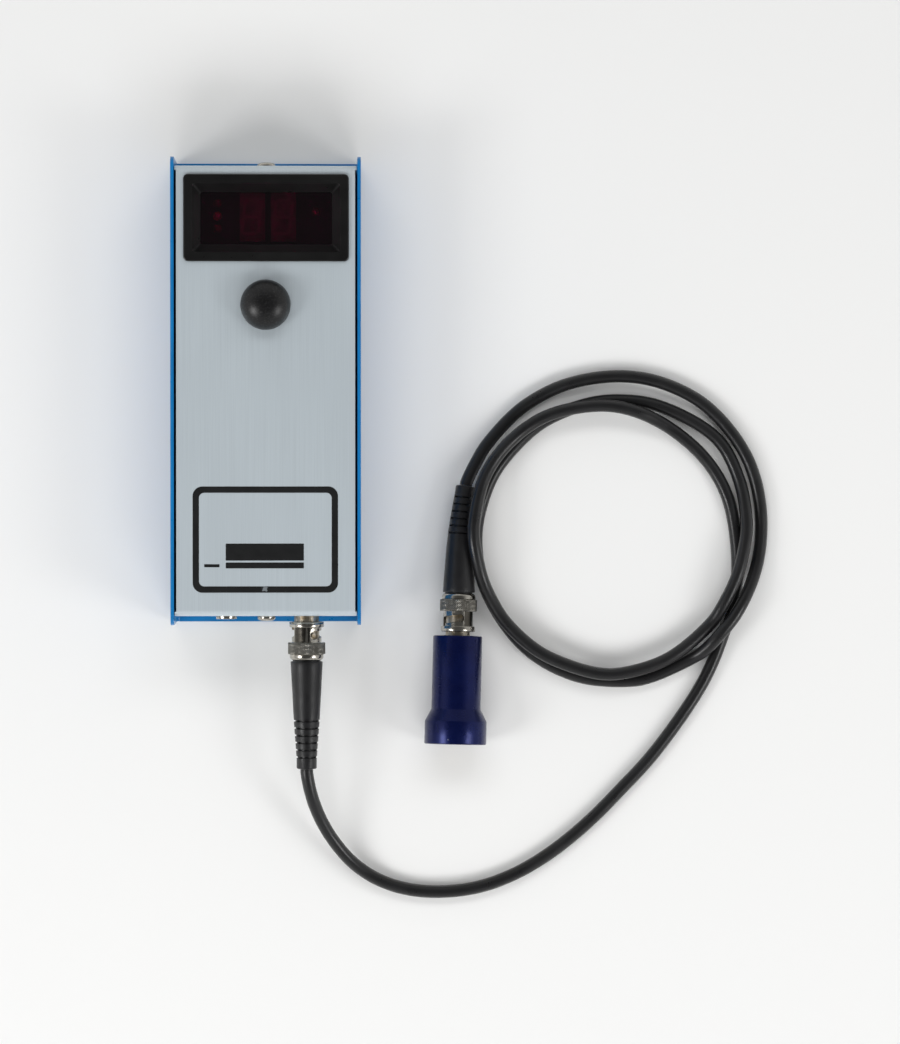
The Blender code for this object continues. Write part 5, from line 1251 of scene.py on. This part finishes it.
# %% [markdown]
# ## Digits behind the filter
# A seven-segment digit is a dark red block with seven milky bars, each with pointed ends. The
# bars are a hair prouder than the block. They lean a little to the right, as on most displays.

# %% Digit segments
DIGIT_TALL, DIGIT_WIDE, BAR_WIDE, DIGIT_LEAN, DIGIT_SHIFT = 0.0127, 0.0062, 0.0011, 0.10, 0.0003
BAR_FOOT, BAR_FACE = 0.00001, 0.00009
BAR_MITRE, BAR_TIP = 0.62, 0.5  # shares of a bar's width
BARS = (((-1, 1), (1, 1)), ((1, 1), (1, 0)), ((1, 0), (1, -1)), ((1, -1), (-1, -1)),
        ((-1, -1), (-1, 0)), ((-1, 0), (-1, 1)), ((-1, 0), (1, 0)))


def digit_segments(side):
    """The seven bars of one digit as one piece on its block."""
    low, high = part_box("digit_" + side)
    cx, cy, top = (low[0] + high[0]) / 2, (low[1] + high[1]) / 2, high[2]
    half = DIGIT_TALL / 2
    bm = bmesh.new()
    for (ax, ay), (bx, by) in BARS:
        a = Vector((ax * DIGIT_WIDE / 2, ay * half))
        b = Vector((bx * DIGIT_WIDE / 2, by * half))
        along = (b - a).normalized()
        across = Vector((-along.y, along.x)) * BAR_WIDE / 2
        a += along * BAR_WIDE * BAR_MITRE
        b -= along * BAR_WIDE * BAR_MITRE
        tip = along * BAR_WIDE * BAR_TIP
        corners = [a - tip, a - across, b - across, b + tip, b + across, a + across]
        ring = [(cx + p.x + p.y * DIGIT_LEAN - DIGIT_SHIFT, cy + p.y) for p in corners]
        sweep(bm, [[(x, y, top + rise) for x, y in ring] for rise in (BAR_FOOT, BAR_FACE)])
    piece = finish_mesh("segments_" + side, bm, segment_epoxy)
    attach(piece, "housing")
    print(piece.name, len(piece.data.polygons), "faces")


digit_segments("left")
digit_segments("right")

# %% [markdown]
# ## Lamps behind the filter
# The four lamps are round-nosed epoxy lamps of 3 mm with a small collar at their foot.

# %% Lamps
LAMP_R, COLLAR_R, COLLAR_TALL = 0.0015, 0.0017, 0.0008
for lamp in ("status_led_1", "status_led_2", "status_led_3", "power_led"):
    low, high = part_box(lamp)
    shoulder = high[2] - low[2] - LAMP_R
    at = Matrix.Translation(((low[0] + high[0]) / 2, (low[1] + high[1]) / 2, low[2]))
    profile = [(0.0, 0.0), (COLLAR_R, 0.0), (COLLAR_R, COLLAR_TALL), (LAMP_R, COLLAR_TALL)]
    for degrees in range(0, 90, 10):
        t = math.radians(degrees)
        profile.append((LAMP_R * math.cos(t), shoulder + LAMP_R * math.sin(t)))
    profile.append((0.0, shoulder + LAMP_R))
    # the middle lamp takes the brighter copy, whose colour is painted light
    epoxy = painted_bright_lamp_epoxy if lamp == "status_led_2" else lamp_epoxy
    piece = turn(lamp + "_lamp", profile, 32, at, epoxy, smooth_angle=50)
    stand_for(piece, "housing", "led", lamp)

# %% [markdown]
# ## Finishes on the CAD nodes
# The folded sheets, the bezel and all inner pieces keep their CAD shape. A weld joins the
# vertices that the import split, and a small bevel then breaks the sharp edges of sheets and
# mouldings, as deburring and mould radii do.

# %% Node finishes
NODE_FINISHES = {
    "blue_paint": blue_enamel, "grey_paint": grey_panel, "nickel": nickel_plate,
    "steel": zinc_steel, "black_plastic": black_abs, "window": red_filter,
    "digit": digit_block, "led": lamp_epoxy, "board": circuit_board, "dome": speckled_dome,
    "ptfe": ptfe, "gold": gold_flash, "boot_rubber": boot_rubber, "cord_jacket": lead_jacket,
    "probe_blue": probe_blue, "lens": lens_epoxy, "ceramic": piezo_ceramic,
    "epoxy": backing_epoxy, "nylon": nylon, "battery_wrap": battery_wrap, "chip": chip_epoxy,
}
slot_of = {entry["node"]: entry["material_slot"] for entry in frame["record"]["subparts"]}
for name, node in frame["nodes"].items():
    finish = NODE_FINISHES[slot_of[name]]
    node.data.materials.clear()
    node.data.materials.append(finish)
print(len(slot_of), "nodes finished")

EDGE_BREAKS = {"rear_case": 0.0002, "front_panel": 0.00015, "display_bezel": 0.0002,
               "box_jack_housing": 0.0003, "button_nut": 0.0002, "main_board": 0.0001,
               "jack_board": 0.0001, "display_board": 0.0001, "battery_clamp": 0.0001,
               "end_bracket_top": 0.0002, "end_bracket_bottom": 0.0002,
               "display_window": 0.0001, "processor_chip": 0.0002, "board_header": 0.0002}
for name, width in EDGE_BREAKS.items():
    node = frame["nodes"][name]
    weld = node.modifiers.new("weld", "WELD")
    weld.merge_threshold = 0.000002
    bevel = node.modifiers.new("edge_break", "BEVEL")
    bevel.width = width
    bevel.segments = 2
    bevel.limit_method = "ANGLE"
    bevel.angle_limit = math.radians(35)
    bevel.use_clamp_overlap = True
    bevel.harden_normals = True
print(len(EDGE_BREAKS), "nodes with broken edges")
